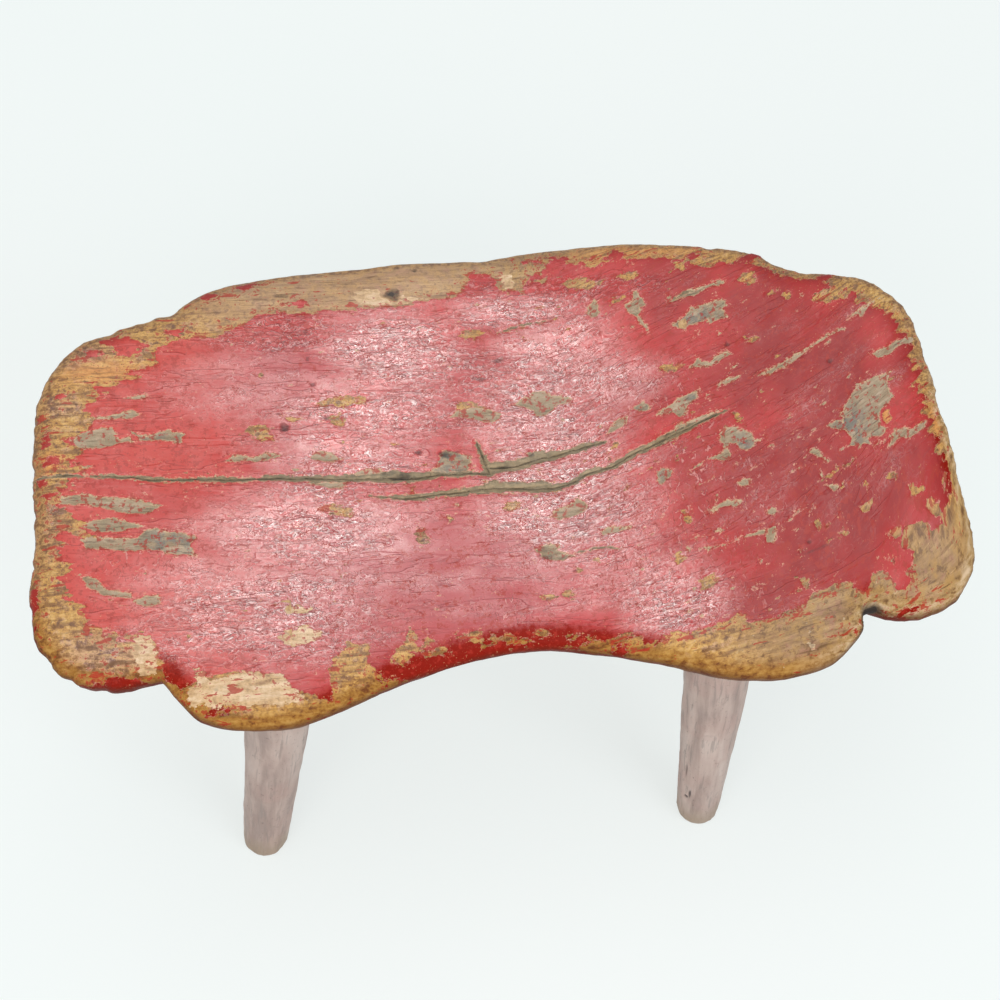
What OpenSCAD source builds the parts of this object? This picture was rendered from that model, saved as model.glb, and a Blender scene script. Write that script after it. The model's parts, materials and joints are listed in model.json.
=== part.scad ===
// A small hand-carved wooden stool: one hollowed plank seat with a scalloped outline,
// on four splayed round legs. Each leg ends in a round tenon that runs right through
// the seat, where a hardwood wedge spreads it. All sizes are in millimetres.
// The stool stands on z = 0, its long side runs along X and its waisted front faces -Y.

/* [Seat] */
// Length of the seat from end to end
seat_length = 360; // [330:2:400]
// Depth of the seat from the front lobes to the back edge
seat_depth = 200; // [190:2:230]
// Height of the lowest point of the hollowed top above the floor
seat_height = 184; // [150:1:260]
// Thickness of the plank under that lowest point
seat_thickness = 22; // [18:0.5:32]
// How much higher the two ends of the hollowed top are than its middle
end_rise = 7; // [0:0.5:12]
// How much higher the front and back of the hollowed top are than its middle
side_rise = 2; // [0:0.25:4]
// How far out of square the plank was cut, in degrees
out_of_square = 2; // [0:0.25:4]

/* [Seat edge] */
// How far in from the edge the top begins to round over
round_over = 15; // [8:0.5:20]
// How far the widest line of the edge lies below the top
round_drop = 7; // [4:0.5:9]
// Height of the upright band under the widest line
edge_band = 3.5; // [2:0.5:5]
// How far in the bevel under the edge reaches on the underside
under_bevel = 15; // [8:0.5:20]

/* [Cracks] */
// Depth of the two long cracks in the top where they are deepest
crack_depth = 2.6; // [1:0.2:4]
// Width of the two long cracks where they are widest
crack_width = 4.4; // [2:0.2:6]

/* [Outline of one half] */
// How far the middle of the back edge is drawn in
back_hollow = 2; // [0:0.25:5]
// Distance of the back lobe's shoulder from the end
back_lobe_inset = 88; // [76:1:100]
// How far the back lobe's shoulder lies in from the back edge
back_lobe_in = 3.2; // [2:0.2:6]
// Distance of the step behind the ear from the end
step_inset = 53; // [46:1:60]
// How far that step lies in from the back edge
step_in = 18; // [14:0.5:24]
// Distance of the ear's back shoulder from the end
shoulder_inset = 20; // [14:0.5:26]
// How far the ear's back shoulder lies in from the back edge
shoulder_in = 29.5; // [26:0.5:36]
// How far in from the back edge the end's straight run starts
end_start_in = 70; // [56:1:84]
// How much the straight run of the end bulges out
end_bulge = 1.5; // [0:0.25:4]
// Radius of the ear's front corner
front_corner_r = 30; // [20:1:34]
// Distance of the front notch from the end
notch_inset = 48; // [42:1:54]
// How far the front notch lies in from the front lobes
notch_in = 21.5; // [14:0.5:28]
// How far the ear stands forward of the notch
ear_sag = 2.3; // [0.5:0.1:4]
// Distance of the front lobe's crest from the end
lobe_inset = 86; // [78:1:96]
// Distance of the waist's flank from the end
flank_inset = 125; // [114:1:134]
// How far the waist's flank lies in from the front lobes
flank_in = 10.5; // [6:0.5:14]
// How far the middle of the front edge is drawn in as a waist
waist_in = 21; // [10:0.5:34]

/* [Legs] */
// Diameter of a leg just under the seat
leg_top_d = 30; // [24:0.5:34]
// Diameter of a leg at the floor
leg_foot_d = 20; // [17:0.5:24]
// Radius of the worn rim of a foot
foot_round = 8; // [3:0.5:8]
// Distance of a leg's tenon from the end of the seat
tenon_inset = 97.5; // [88:0.5:110]
// Distance of a leg's tenon from the front or back of the seat
tenon_in = 36; // [32:0.5:44]
// How far all four sockets were bored to the left of square
socket_shift = 3; // [0:0.5:5]
// Sideways splay of the two left legs, in degrees
splay_left = 6; // [2:0.25:10]
// Sideways splay of the two right legs, in degrees
splay_right = 4; // [2:0.25:10]
// Forward and backward splay of the legs, in degrees
splay_deep = 6; // [3:0.2:12]

/* [Tenons and wedges] */
// Diameter of the tenon on a leg
tenon_d = 19; // [16:0.5:22]
// Thickness of a wedge at its wide end
wedge_thick = 3.4; // [2.4:0.1:4.5]
// Thickness of a wedge at its thin end
wedge_tip = 0.8; // [0.5:0.1:1.5]
// Length of a wedge along its tenon
wedge_length = 16; // [10:0.5:17]
// Depth of the saw kerf below the wedge's thin end
kerf_spare = 2; // [1:0.5:4]

/* [Fits] */
// Gap all round between a tenon and its socket
tenon_clearance = 0.1; // [0.05:0.01:0.3]
// Gap between a wedge and each cheek of its kerf
wedge_clearance = 0.05; // [0.02:0.01:0.1]
// How far a tenon's end lies below the top of the seat
tenon_shy = 0.4; // [0.2:0.1:1]

/* [Hidden] */

half_length = seat_length / 2;
half_depth = seat_depth / 2;
underside = seat_height - seat_thickness;

// Course of the crack that runs from the left end to the middle, and of the one that runs
// from the middle to the right: each point has its place and its share of the full width
long_crack = [[[-150, 0.5], 0.1], [[-127, -1], 0.35], [[-78, -2], 0.5], [[-44, -3], 0.95], [[-23, -3], 0.6],
              [[-5, -3], 0.7], [[5, -1], 1], [[27, 4], 0.75], [[41, 7], 0.1]];
right_crack = [[[-50, -11], 0.1], [[-38, -13], 0.45], [[-13, -11], 0.9], [[7, -11], 1], [[19, -12], 0.8],
               [[27, -10], 0.5], [[43, -4], 0.5], [[54, 2], 0.75], [[70, 9], 0.6], [[91, 18], 0.1]];
// How far the wedge-shaped tool that opens a crack reaches above the top
crack_over = 1;

// Spacing of the points along the outline
outline_step = 6;
// Length of a curve's two handles as a share of its chord
handle = 0.37;
// Distance from the seat's end to the end of the spine towards which the outline shrinks
spine_inset = 80;
spine_half = half_length - spine_inset;
// Shape of the end rise, from 2 for an even bowl up
rise_power = 2.4;
// How much the upright band leans in, as a share of its height
band_lean = 0.2;
// Share of a foot's round rim that the floor cuts off
foot_worn = 1 / 3;
// How far cutting tools reach past what they cut
reach = 20;
// Facets on round pieces
round_fn = 64;

wood_red = [0.69, 0.23, 0.26];
leg_paint = [0.72, 0.65, 0.63];
wedge_wood = [0.78, 0.62, 0.38];

// Points of a smooth curve from p to q, without q, leaving and arriving at these headings
function curve(p, leave, q, arrive) =
    let (
        chord = norm(q - p),
        steps = ceil(chord / outline_step),
        a = p + handle * chord * [cos(leave), sin(leave)],
        b = q - handle * chord * [cos(arrive), sin(arrive)]
    )
    [for (i = [0 : steps - 1])
        let (t = i / steps, s = 1 - t)
        s * s * s * p + 3 * s * s * t * a + 3 * s * t * t * b + t * t * t * q];

// Corners and crests of the right half, from the back's middle round to the front's middle:
// each is its place, the heading on which the edge arrives and the heading on which it leaves
knots = [
    [[0, half_depth - back_hollow], 0, 3],
    [[half_length - back_lobe_inset, half_depth - back_lobe_in], -9, -9],
    [[half_length - step_inset, half_depth - step_in], -42, -12],
    [[half_length - shoulder_inset, half_depth - shoulder_in], -31, -31],
    [[half_length - end_bulge, half_depth - end_start_in], -85, -85],
    [[half_length, -half_depth + notch_in + front_corner_r * 1.6], -90, -90],
    [[half_length - front_corner_r * 0.18, -half_depth + notch_in + front_corner_r * 0.6], -108, -108],
    [[half_length - notch_inset + front_corner_r * 0.5, -half_depth + notch_in - ear_sag], -180, -180],
    [[half_length - notch_inset, -half_depth + notch_in], -190, -122],
    [[half_length - lobe_inset, -half_depth], -180, -180],
    [[half_length - flank_inset, -half_depth + flank_in], -198, -198],
    [[0, -half_depth + waist_in], -180, -180]
];

right_half = [for (k = [0 : len(knots) - 2])
    each curve(knots[k][0], knots[k][2], knots[k + 1][0], knots[k + 1][1])];
half_count = len(right_half);
left_half = [for (k = [half_count - 1 : -1 : 1]) [-right_half[k].x, right_half[k].y]];
outline = concat(right_half, [knots[len(knots) - 1][0]], left_half);
count = len(outline);

// Height of the hollowed top over a place in the plan
function top_height(p) =
    seat_height
    + end_rise * pow(min(abs(p.x) / half_length, 1), rise_power)
    + side_rise * pow(min(abs(p.y) / half_depth, 1), 2);

// Place on the seat's spine that an outline point shrinks towards
function spine_point(p) = [max(-spine_half, min(spine_half, p.x)), 0];

// An outline point drawn in towards the spine by a distance
function drawn_in(p, distance) =
    let (to_spine = spine_point(p) - p)
    p + to_spine * distance / norm(to_spine);

// The plank's lack of squareness slants the outline, which is then centred again
slanted_ys = [for (p = outline) p.y + p.x * tan(out_of_square)];
centring = -(max(slanted_ys) + min(slanted_ys)) / 2;
function lifted(p, z) = [p.x, p.y + p.x * tan(out_of_square) + centring, z];

// A place on the plank's top, set a height above it
function on_top(p, height) =
    [p.x, p.y, top_height([p.x, p.y - p.x * tan(out_of_square) - centring]) + height];

// The rounded edge is a quarter of an ellipse, from the top's rim to the widest line
round_angles = [0 : 18 : 90];
inner_shares = [0.15, 0.36, 0.58, 0.8];

// Rings of the seat from the middle of the top, over the edge, to the underside
rings = concat(
    [for (share = inner_shares)
        [for (p = outline)
            let (rim = drawn_in(p, round_over), s = spine_point(p), q = s + (rim - s) * share)
            lifted(q, top_height(q))]],
    [for (angle = round_angles)
        [for (p = outline)
            let (q = drawn_in(p, round_over * (1 - sin(angle))))
            lifted(q, top_height(p) - (top_height(p) - top_height(q)) * (1 - sin(angle))
                - round_drop * (1 - cos(angle)))]],
    [[for (p = outline)
        let (q = drawn_in(p, edge_band * band_lean))
        lifted(q, top_height(p) - round_drop - edge_band)]],
    [[for (p = outline) lifted(drawn_in(p, under_bevel), underside)]]
);
ring_count = len(rings);

// The innermost ring is closed by a strip that joins its back half to its front half
middle_strip = [for (side = [1, -1], k = [0 : ceil(half_count / 2) - 1])
    let (
        a = (side * k + count) % count,
        b = (side * (k + 1) + count) % count,
        c = (side * (half_count - k - 1) + count) % count,
        d = (side * (half_count - k) + count) % count,
        back = side > 0 ? [a, b, d] : [a, d, b],
        front = side > 0 ? [b, c, d] : [b, d, c]
    )
    each (b == c ? [back] : [back, front])];

side_faces = [for (ring = [0 : ring_count - 2], k = [0 : count - 1])
    let (
        next = (k + 1) % count,
        a = ring * count + k,
        b = ring * count + next,
        c = (ring + 1) * count + next,
        d = (ring + 1) * count + k
    )
    each [[a, c, b], [a, d, c]]];

bottom_face = [[for (k = [count - 1 : -1 : 0]) (ring_count - 1) * count + k]];

module plank() {
    polyhedron(
        points = [for (ring = rings) each ring],
        faces = concat(middle_strip, side_faces, bottom_face),
        convexity = 4
    );
}

// Three corners of a crack's wedge-shaped section at one point of its course
function crack_section(course, k) =
    let (
        way = course[min(k + 1, len(course) - 1)][0] - course[max(k - 1, 0)][0],
        square = [-way.y, way.x] / norm(way),
        deep = crack_depth * course[k][1],
        half = crack_width / 2 * course[k][1] * (deep + crack_over) / deep
    )
    [on_top(course[k][0] + square * half, crack_over),
     on_top(course[k][0], -deep),
     on_top(course[k][0] - square * half, crack_over)];

// The space of a crack along its course
module crack(course) {
    last = 3 * (len(course) - 1);
    polyhedron(
        points = [for (k = [0 : len(course) - 1]) each crack_section(course, k)],
        faces = concat(
            [[0, 2, 1], [last, last + 1, last + 2]],
            [for (k = [0 : len(course) - 2], corner = [0 : 2])
                let (a = 3 * k + corner, b = 3 * k + (corner + 1) % 3)
                each [[a, b, b + 3], [a, b + 3, a + 3]]]
        ),
        convexity = 4
    );
}

// Where a leg's axis meets the hollowed top; side is -1 for left and 1 for right,
// and face is -1 for the front and 1 for the back
function tenon_end(side, face) =
    let (p = [side * (half_length - tenon_inset) - socket_shift, face * (half_depth - tenon_in)])
    [p.x, p.y + centring, top_height(p) - tenon_shy];

// Direction of a leg, from its foot up to its tenon
function leg_rise(side, face) =
    [-side * tan(side < 0 ? splay_left : splay_right), -face * tan(splay_deep), 1];
function leg_tilt(side, face) = acos(1 / norm(leg_rise(side, face)));
function leg_heading(side, face) = atan2(leg_rise(side, face).y, leg_rise(side, face).x);
function axis_length(side, face) = tenon_end(side, face).z * norm(leg_rise(side, face));

// Draws its children with z along a leg's axis: z = 0 where the axis meets the floor,
// and with their X and Y kept close to those of the seat
module on_leg_axis(side, face) {
    top = tenon_end(side, face);
    foot = top - top.z * leg_rise(side, face);
    heading = leg_heading(side, face);
    translate(foot)
        rotate([0, leg_tilt(side, face), heading])
            rotate([0, 0, -heading])
                children();
}

// A block that fills everything between two heights
module layer(low, high) {
    translate([-half_length, -half_depth - reach, low])
        cube([seat_length, seat_depth + 2 * reach, high - low]);
}

// The whittled leg: tapered, with a worn rim round its foot
module leg_body(side, face) {
    foot_r = leg_foot_d / 2;
    top_r = leg_top_d / 2;
    length = axis_length(side, face);
    start = -foot_round * foot_worn;
    on_leg_axis(side, face)
        rotate_extrude($fn = round_fn)
            polygon(concat(
                [[0, start]],
                [for (angle = [-90 : 15 : 0])
                    [foot_r - foot_round + foot_round * cos(angle),
                     start + foot_round + foot_round * sin(angle)]],
                [[top_r, length], [0, length]]
            ));
}

module tenon(side, face, radius, low, high) {
    on_leg_axis(side, face)
        translate([0, 0, low])
            cylinder(r = radius, h = high - low, $fn = round_fn);
}

// The tapered space that a wedge and its kerf share, grown by a gap on both cheeks
module wedge_space(side, face, gap, spare) {
    length = axis_length(side, face);
    wide = wedge_thick / 2 + gap;
    thin = wedge_tip / 2 + gap;
    slope = (wedge_thick - wedge_tip) / 2 / wedge_length;
    on_leg_axis(side, face)
        rotate([90, 0, 0])
            linear_extrude(height = tenon_d + 2 * reach, center = true)
                polygon([
                    [-wide - slope * reach, length + reach],
                    [-thin, length - wedge_length],
                    [-thin, length - wedge_length - spare],
                    [thin, length - wedge_length - spare],
                    [thin, length - wedge_length],
                    [wide + slope * reach, length + reach]
                ]);
}

module leg(side, face) {
    end_z = tenon_end(side, face).z;
    length = axis_length(side, face);
    color(leg_paint)
        difference() {
            union() {
                intersection() {
                    leg_body(side, face);
                    layer(0, underside);
                }
                intersection() {
                    tenon(side, face, tenon_d / 2, length / 2, length + reach);
                    layer(0, end_z);
                }
            }
            wedge_space(side, face, wedge_clearance, kerf_spare);
        }
}

module wedge(side, face) {
    length = axis_length(side, face);
    color(wedge_wood)
        intersection() {
            tenon(side, face, tenon_d / 2, length - wedge_length, length + reach);
            wedge_space(side, face, 0, 0);
            layer(0, tenon_end(side, face).z);
        }
}

module seat() {
    color(wood_red)
        difference() {
            plank();
            crack(long_crack);
            crack(right_crack);
            for (side = [-1, 1], face = [-1, 1])
                tenon(side, face, tenon_d / 2 + tenon_clearance,
                    axis_length(side, face) - seat_thickness - reach,
                    axis_length(side, face) + reach);
        }
}

seat();
leg(-1, -1);  // front_left_leg
leg(1, -1);  // front_right_leg
leg(-1, 1);  // back_left_leg
leg(1, 1);  // back_right_leg
wedge(-1, -1);  // front_left_wedge
wedge(1, -1);  // front_right_wedge
wedge(-1, 1);  // back_left_wedge
wedge(1, 1);  // back_right_wedge
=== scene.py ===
# %% [markdown]
# # A hand-hewn stool in old red paint
# The stool is one thick plank, hollowed for sitting and cut to a wavy outline, on four round legs.
# Most of its character lies in the surface: red paint over an ochre ground, crackled, chipped and
# worn through at the rim. The construction comes ready as a fixed frame, so this lesson only
# dresses it: a finely carved mesh for the seat, whittled meshes for the legs, and finishes that
# are mixed from nodes. Loading the frame comes first, because every size is read from it.

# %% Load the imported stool
import json
import math
from types import SimpleNamespace
import bmesh
import bpy
import numpy as np
from mathutils import Matrix, Vector
from mathutils.geometry import delaunay_2d_cdt
from mathutils.kdtree import KDTree

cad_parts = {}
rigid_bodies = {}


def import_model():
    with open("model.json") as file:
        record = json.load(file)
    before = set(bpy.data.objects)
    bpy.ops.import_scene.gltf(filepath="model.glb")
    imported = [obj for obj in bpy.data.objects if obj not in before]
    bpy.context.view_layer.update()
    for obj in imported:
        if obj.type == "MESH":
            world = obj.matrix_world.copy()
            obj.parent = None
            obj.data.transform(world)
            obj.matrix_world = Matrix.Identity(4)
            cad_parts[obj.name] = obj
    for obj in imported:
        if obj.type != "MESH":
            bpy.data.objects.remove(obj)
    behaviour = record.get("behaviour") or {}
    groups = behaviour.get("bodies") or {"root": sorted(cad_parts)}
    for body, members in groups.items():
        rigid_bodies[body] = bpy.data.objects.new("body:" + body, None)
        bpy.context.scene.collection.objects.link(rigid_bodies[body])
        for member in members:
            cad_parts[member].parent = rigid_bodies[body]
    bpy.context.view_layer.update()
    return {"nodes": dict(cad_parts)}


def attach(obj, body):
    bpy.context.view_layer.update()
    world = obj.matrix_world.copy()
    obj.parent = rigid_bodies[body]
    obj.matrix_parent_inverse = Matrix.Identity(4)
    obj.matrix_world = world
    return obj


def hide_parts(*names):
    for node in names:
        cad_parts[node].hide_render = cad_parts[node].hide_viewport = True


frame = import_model()
MM = 0.001


def add_object(name, data):
    """A new object of the scene that shows some data."""
    made = bpy.data.objects.new(name, data)
    bpy.context.scene.collection.objects.link(made)
    return made


print("the frame holds", ", ".join(sorted(frame["nodes"])))

# %% [markdown]
# ## The camera
# The stool is seen from above its front left, from about arm's length, with the camera held a
# little crooked. A camera could be aimed with a constraint, but a matrix made from three plain
# directions keeps the tilt, the turn and the roll as separate named values.

# %% Place the camera
VIEW_ELEVATION = 61.3
VIEW_AZIMUTH = -10.9
VIEW_ROLL = -6.3
VIEW_DISTANCE = 734.7
VIEW_TARGET = Vector((-1.7, -13.9, 180))
FOCAL_SHARE = 1.9
SENSOR_WIDTH = 36


def camera_axes(elevation, azimuth, roll):
    """The camera's right, up and backward directions for three angles in degrees."""
    tilt, turn, spin = (math.radians(angle) for angle in (elevation, azimuth, roll))
    back = Vector((math.sin(turn) * math.cos(tilt), -math.cos(turn) * math.cos(tilt), math.sin(tilt)))
    level = (-back).cross(Vector((0, 0, 1))).normalized()
    upright = level.cross(-back)
    right = math.cos(spin) * level - math.sin(spin) * upright
    up = math.sin(spin) * level + math.cos(spin) * upright
    return right, up, back


right, up, back = camera_axes(VIEW_ELEVATION, VIEW_AZIMUTH, VIEW_ROLL)
lens = bpy.data.cameras.new("camera")
lens.sensor_width = SENSOR_WIDTH
lens.lens = FOCAL_SHARE * SENSOR_WIDTH
lens.clip_start = 0.01
camera = add_object("camera", lens)
camera.matrix_world = Matrix((right, up, back)).transposed().to_4x4()
camera.matrix_world.translation = (VIEW_TARGET + VIEW_DISTANCE * back) * MM
bpy.context.scene.camera = camera
print("the lens is", round(lens.lens, 1), "mm long")

# %% [markdown]
# ## Short words for node trees
# Every finish below is a tree of nodes. Written out node by node, a tree is long and hard to
# read. So each output comes back as a value that can be added, multiplied, stepped and mixed in
# plain Python, and every such step adds its node. An effect that several finishes share becomes a
# group with named sockets.

# %% A helper that wires nodes


def colour(red, green, blue):
    """An eight-bit screen colour as the linear colour that shaders take."""
    shares = [value / 255 for value in (red, green, blue)]
    linear = [share / 12.92 if share < 0.04 else ((share + 0.055) / 1.055) ** 2.4 for share in shares]
    return (*linear, 1)


class Wiring:
    """Adds nodes to a tree and joins them."""

    def __init__(self, tree):
        self.tree = tree

    def join(self, value, socket):
        """Links a value to a socket, or sets the socket to a plain number or screen colour."""
        if isinstance(value, Value):
            self.tree.links.new(value.socket, socket)
        else:
            socket.default_value = colour(*value) if socket.type == "RGBA" else value

    def node(self, kind, wires, **settings):
        """A new node with its settings and its inputs by name or number; gives its outputs."""
        made = self.tree.nodes.new(kind)
        for name, value in settings.items():
            setattr(made, name, value)
        for socket, value in wires.items():
            self.join(value, made.inputs[socket])
        return Outputs(self, made)

    def mix(self, share, low, high):
        """A colour that goes from low to high with a share."""
        return self.node("ShaderNodeMix", {0: share, 6: low, 7: high}, data_type="RGBA")[2]

    def attribute(self, name):
        """A value that the mesh carries at each of its points."""
        wanted = {"attribute_type": "GEOMETRY", "attribute_name": name}
        return self.node("ShaderNodeAttribute", {}, **wanted)["Vector"]

    def group(self, name, wires):
        """A shared group in this tree; gives its outputs by name."""
        return self.node("ShaderNodeGroup", wires, node_tree=bpy.data.node_groups[name])

    def surface(self, shade, rough, relief, **more):
        """Joins a colour, a roughness and a relief in millimetres to the tree's shader."""
        bump = self.node("ShaderNodeBump", {"Height": relief, "Distance": MM, "Strength": 1.0})[0]
        wires = {"Base Color": shade, "Roughness": rough, "Normal": bump, **more}
        for socket, value in wires.items():
            self.join(value, self.tree.nodes["Principled BSDF"].inputs[socket])


class Outputs:
    """The outputs of a node as values, by name or by number."""

    def __init__(self, wiring, node):
        self.wiring, self.made = wiring, node

    def __getitem__(self, key):
        return Value(self.wiring, self.made.outputs[key])


class Value:
    """A node's output that can be reckoned with; each step adds a node to its tree."""

    def __init__(self, wiring, socket):
        self.wiring, self.socket = wiring, socket

    def reckon(self, operation, *others, clamp=False):
        """The result of a math node on this value and others."""
        wires = dict(enumerate((self, *others)))
        return self.wiring.node("ShaderNodeMath", wires, operation=operation, use_clamp=clamp)[0]

    def __add__(self, other):
        return self.reckon("ADD", other)

    def __sub__(self, other):
        return self.reckon("SUBTRACT", other)

    def __rsub__(self, other):
        return self.reckon("MULTIPLY_ADD", -1, other)

    def __mul__(self, other):
        return self.reckon("MULTIPLY", other)

    def __truediv__(self, other):
        return self.reckon("DIVIDE", other)

    def __or__(self, other):
        """The larger of two values."""
        return self.reckon("MAXIMUM", other)

    def __abs__(self):
        return self.reckon("ABSOLUTE")

    def held(self):
        """This value kept between 0 and 1."""
        return self.reckon("ADD", 0, clamp=True)

    def parts(self):
        """The three numbers of a vector."""
        split = self.wiring.node("ShaderNodeSeparateXYZ", {0: self})
        return [split[number] for number in range(3)]

    def step(self, low, high, first=0, last=1):
        """A soft step from first to last as this value goes from low to high."""
        wires = {"Value": self, "From Min": low, "From Max": high, "To Min": first, "To Max": last}
        return self.wiring.node("ShaderNodeMapRange", wires, interpolation_type="SMOOTHSTEP")[0]

    def between(self, low, high):
        """A colour that goes from low to high with this share."""
        return self.wiring.mix(self, low, high)

    def under(self, *layers):
        """This colour with others laid over it in turn, each a share and a colour."""
        result = self
        for share, top in layers:
            result = self.wiring.mix(share, result, top)
        return result

    def ramp(self, *stops):
        """A colour that follows this value through stops of a position and a colour."""
        outputs = self.wiring.node("ShaderNodeValToRGB", {0: self})
        elements = outputs.made.color_ramp.elements
        for element, (position, shade) in zip(list(elements), (stops[0], stops[-1])):
            element.position = position
            element.color = colour(*shade)
        for position, shade in stops[1:-1]:
            elements.new(position).color = colour(*shade)
        return outputs[0]

    def noise(self, scale, detail=2, roughness=0.5, distortion=0):
        """Soft cloudy noise between 0 and 1 over this place."""
        wires = {"Vector": self, "Scale": scale, "Detail": detail, "Roughness": roughness}
        return self.wiring.node("ShaderNodeTexNoise", {**wires, "Distortion": distortion})[0]


def make_group(name, takes, rule):
    """A shared group: takes has each input's value, None for a vector; the rule gives its outputs."""
    tree = bpy.data.node_groups.new(name, "ShaderNodeTree")
    for label, value in takes.items():
        kind = "NodeSocketVector" if value is None else "NodeSocketFloat"
        socket = tree.interface.new_socket(label, in_out="INPUT", socket_type=kind)
        if value is not None:
            socket.default_value = value
    wiring = Wiring(tree)
    made = rule(wiring.node("NodeGroupInput", {}))
    for label in made:
        tree.interface.new_socket(label, in_out="OUTPUT", socket_type="NodeSocketFloat")
    results = tree.nodes.new("NodeGroupOutput")
    for label, value in made.items():
        wiring.join(value, results.inputs[label])
    print("group", name, "gives", ", ".join(made))


def new_material(name):
    """An empty material and its wiring."""
    material = bpy.data.materials.new(name)
    material.use_nodes = True
    return material, Wiring(material.node_tree)


# %% [markdown]
# ## Light and floor
# Old wares are shown on a pale sheet in soft light, so the floor is pale and nearly matt, and the
# light comes from wide soft panels. One panel stands behind and above the stool: the hollow of the
# seat mirrors it towards the camera, which puts the pink sheen on the middle of the paint. Two
# panels stand at the front corners and lay the faint crossed shadows of the legs on the floor.

# %% Lay the floor
FLOOR_HALF = 6.0
FLOOR_GLOW = 0.7


def make_floor():
    """A wide pale floor under the stool, which keeps a faint shadow."""
    corners = [(-1, -1), (1, -1), (1, 1), (-1, 1)]
    corners = [(FLOOR_HALF * east, FLOOR_HALF * north, 0) for east, north in corners]
    mesh = bpy.data.meshes.new("floor")
    mesh.from_pydata(corners, [], [(0, 1, 2, 3)])
    material, wiring = new_material("pale_floor")
    where = wiring.node("ShaderNodeTexCoord", {})["Object"]
    shade = where.noise(1.7, detail=1).ramp((0.3, (243, 249, 247)), (0.7, (246, 250, 248)))
    rays = wiring.node("ShaderNodeLightPath", {})
    glow = (rays["Is Camera Ray"] | rays["Is Glossy Ray"] | rays["Is Transmission Ray"]) * FLOOR_GLOW
    inputs = material.node_tree.nodes["Principled BSDF"].inputs
    wiring.join(shade.under((glow, (0, 0, 0))), inputs["Base Color"])
    wiring.join(shade, inputs["Emission Color"])
    wiring.join(glow, inputs["Emission Strength"])
    inputs["Roughness"].default_value = 0.9
    inputs["Specular IOR Level"].default_value = 0.1
    mesh.materials.append(material)
    return add_object("floor", mesh)


floor = make_floor()
print("the floor is", 2 * FLOOR_HALF, "m wide")

# %% Hang the soft panels
LIGHT_AIM = Vector((0, 0, 0.17))
ROOM_LIGHT, ROOM_SEEN = 0.55, 0.9


def soft_panel(name, azimuth, elevation, distance, size, watts, tint):
    """A wide soft light that faces the stool; azimuth 0 is behind the stool and 90 to its right."""
    data = bpy.data.lights.new(name, "AREA")
    data.shape = "RECTANGLE"
    data.size, data.size_y = size
    data.energy = watts
    data.color = tint[:3]
    panel = add_object(name, data)
    turn, tilt = math.radians(azimuth), math.radians(elevation)
    away = Vector((math.sin(turn) * math.cos(tilt), math.cos(turn) * math.cos(tilt), math.sin(tilt)))
    panel.location = LIGHT_AIM + distance * away
    panel.rotation_euler = away.to_track_quat("Z", "Y").to_euler()
    return panel


sheen_panel = soft_panel("sheen_panel", 2.0, 68, 1.5, (0.22, 0.9), 16, colour(255, 246, 242))
sheen_panel.visible_diffuse = False
soft_panel("left_panel", -150, 38, 1.9, (1.0, 0.9), 10, colour(255, 252, 248))
soft_panel("right_panel", 140, 40, 1.9, (1.0, 0.9), 10, colour(250, 252, 255))
soft_panel("top_panel", -60, 80, 2.2, (1.8, 1.4), 14, colour(250, 253, 255))

world = bpy.data.worlds.new("soft_room")
bpy.context.scene.world = world
world.use_nodes = True
room = Wiring(world.node_tree)
seen = room.node("ShaderNodeLightPath", {})["Is Camera Ray"]
background = world.node_tree.nodes["Background"]
room.join((240, 246, 250), background.inputs["Color"])
room.join(seen.step(0, 1, ROOM_LIGHT, ROOM_SEEN), background.inputs["Strength"])
print("lights:", ", ".join(sorted(item.name for item in bpy.data.objects if item.type == "LIGHT")))

# %% [markdown]
# ## Noise for the carver's hand
# Nothing on a hewn plank is quite straight. The meshes below take their waviness from a seeded
# noise, so that the stool comes out the same each time. Blender has noise functions of its own,
# but a lattice of random values read with numpy handles a hundred thousand points at once.

# %% Seeded noise
NOISE_CELLS = 256
OCTAVE_SHIFT = 31.7, 11.3


def eased(share):
    """A share from 0 to 1 with soft ends."""
    return share * share * (3 - 2 * share)


def soft_step(value, low, high):
    """0 below low, 1 above high and a soft step between."""
    return eased(np.clip((value - low) / (high - low), 0, 1))


def smooth_noise(u, v, seed, octaves=3):
    """Noise between -1 and 1 with waves about two units long, one value for each place."""
    total = np.zeros(np.shape(u))
    weights = 0.0
    for octave in range(octaves):
        table = np.random.default_rng(seed + 17 * octave).uniform(-1, 1, (NOISE_CELLS, NOISE_CELLS))
        x = np.asarray(u) * 2**octave + OCTAVE_SHIFT[0] * octave
        y = np.asarray(v) * 2**octave + OCTAVE_SHIFT[1] * octave
        column, row = np.floor(x).astype(int), np.floor(y).astype(int)
        across, along = eased(x - column), eased(y - row)
        left, right = column % NOISE_CELLS, (column + 1) % NOISE_CELLS
        near, far = [
            table[line % NOISE_CELLS, left] * (1 - across) + table[line % NOISE_CELLS, right] * across
            for line in (row, row + 1)
        ]
        weight = 0.5**octave
        total += weight * (near * (1 - along) + far * along)
        weights += weight
    return total / weights


sample = smooth_noise(np.linspace(0, 50, 500), np.zeros(500), 1)
print("noise runs from", round(sample.min(), 2), "to", round(sample.max(), 2))

# %% [markdown]
# ## The seat's outline
# The real edge was sawn and pared by hand: a chain of lobes and notches. The frame's seat already
# has that chain as short straight facets. Its widest line is found where faces that look up meet
# faces that look down. A smooth curve through its points then gives the fine mesh its rim, sharp
# only where two lobes meet.

# %% Read the widest line from the frame
WELD = 0.00001


def joined_mesh(node):
    """A CAD node's mesh as bmesh, with doubled points joined."""
    mesh = bmesh.new()
    mesh.from_mesh(frame["nodes"][node].data)
    bmesh.ops.remove_doubles(mesh, verts=mesh.verts, dist=WELD)
    mesh.normal_update()
    return mesh


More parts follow.
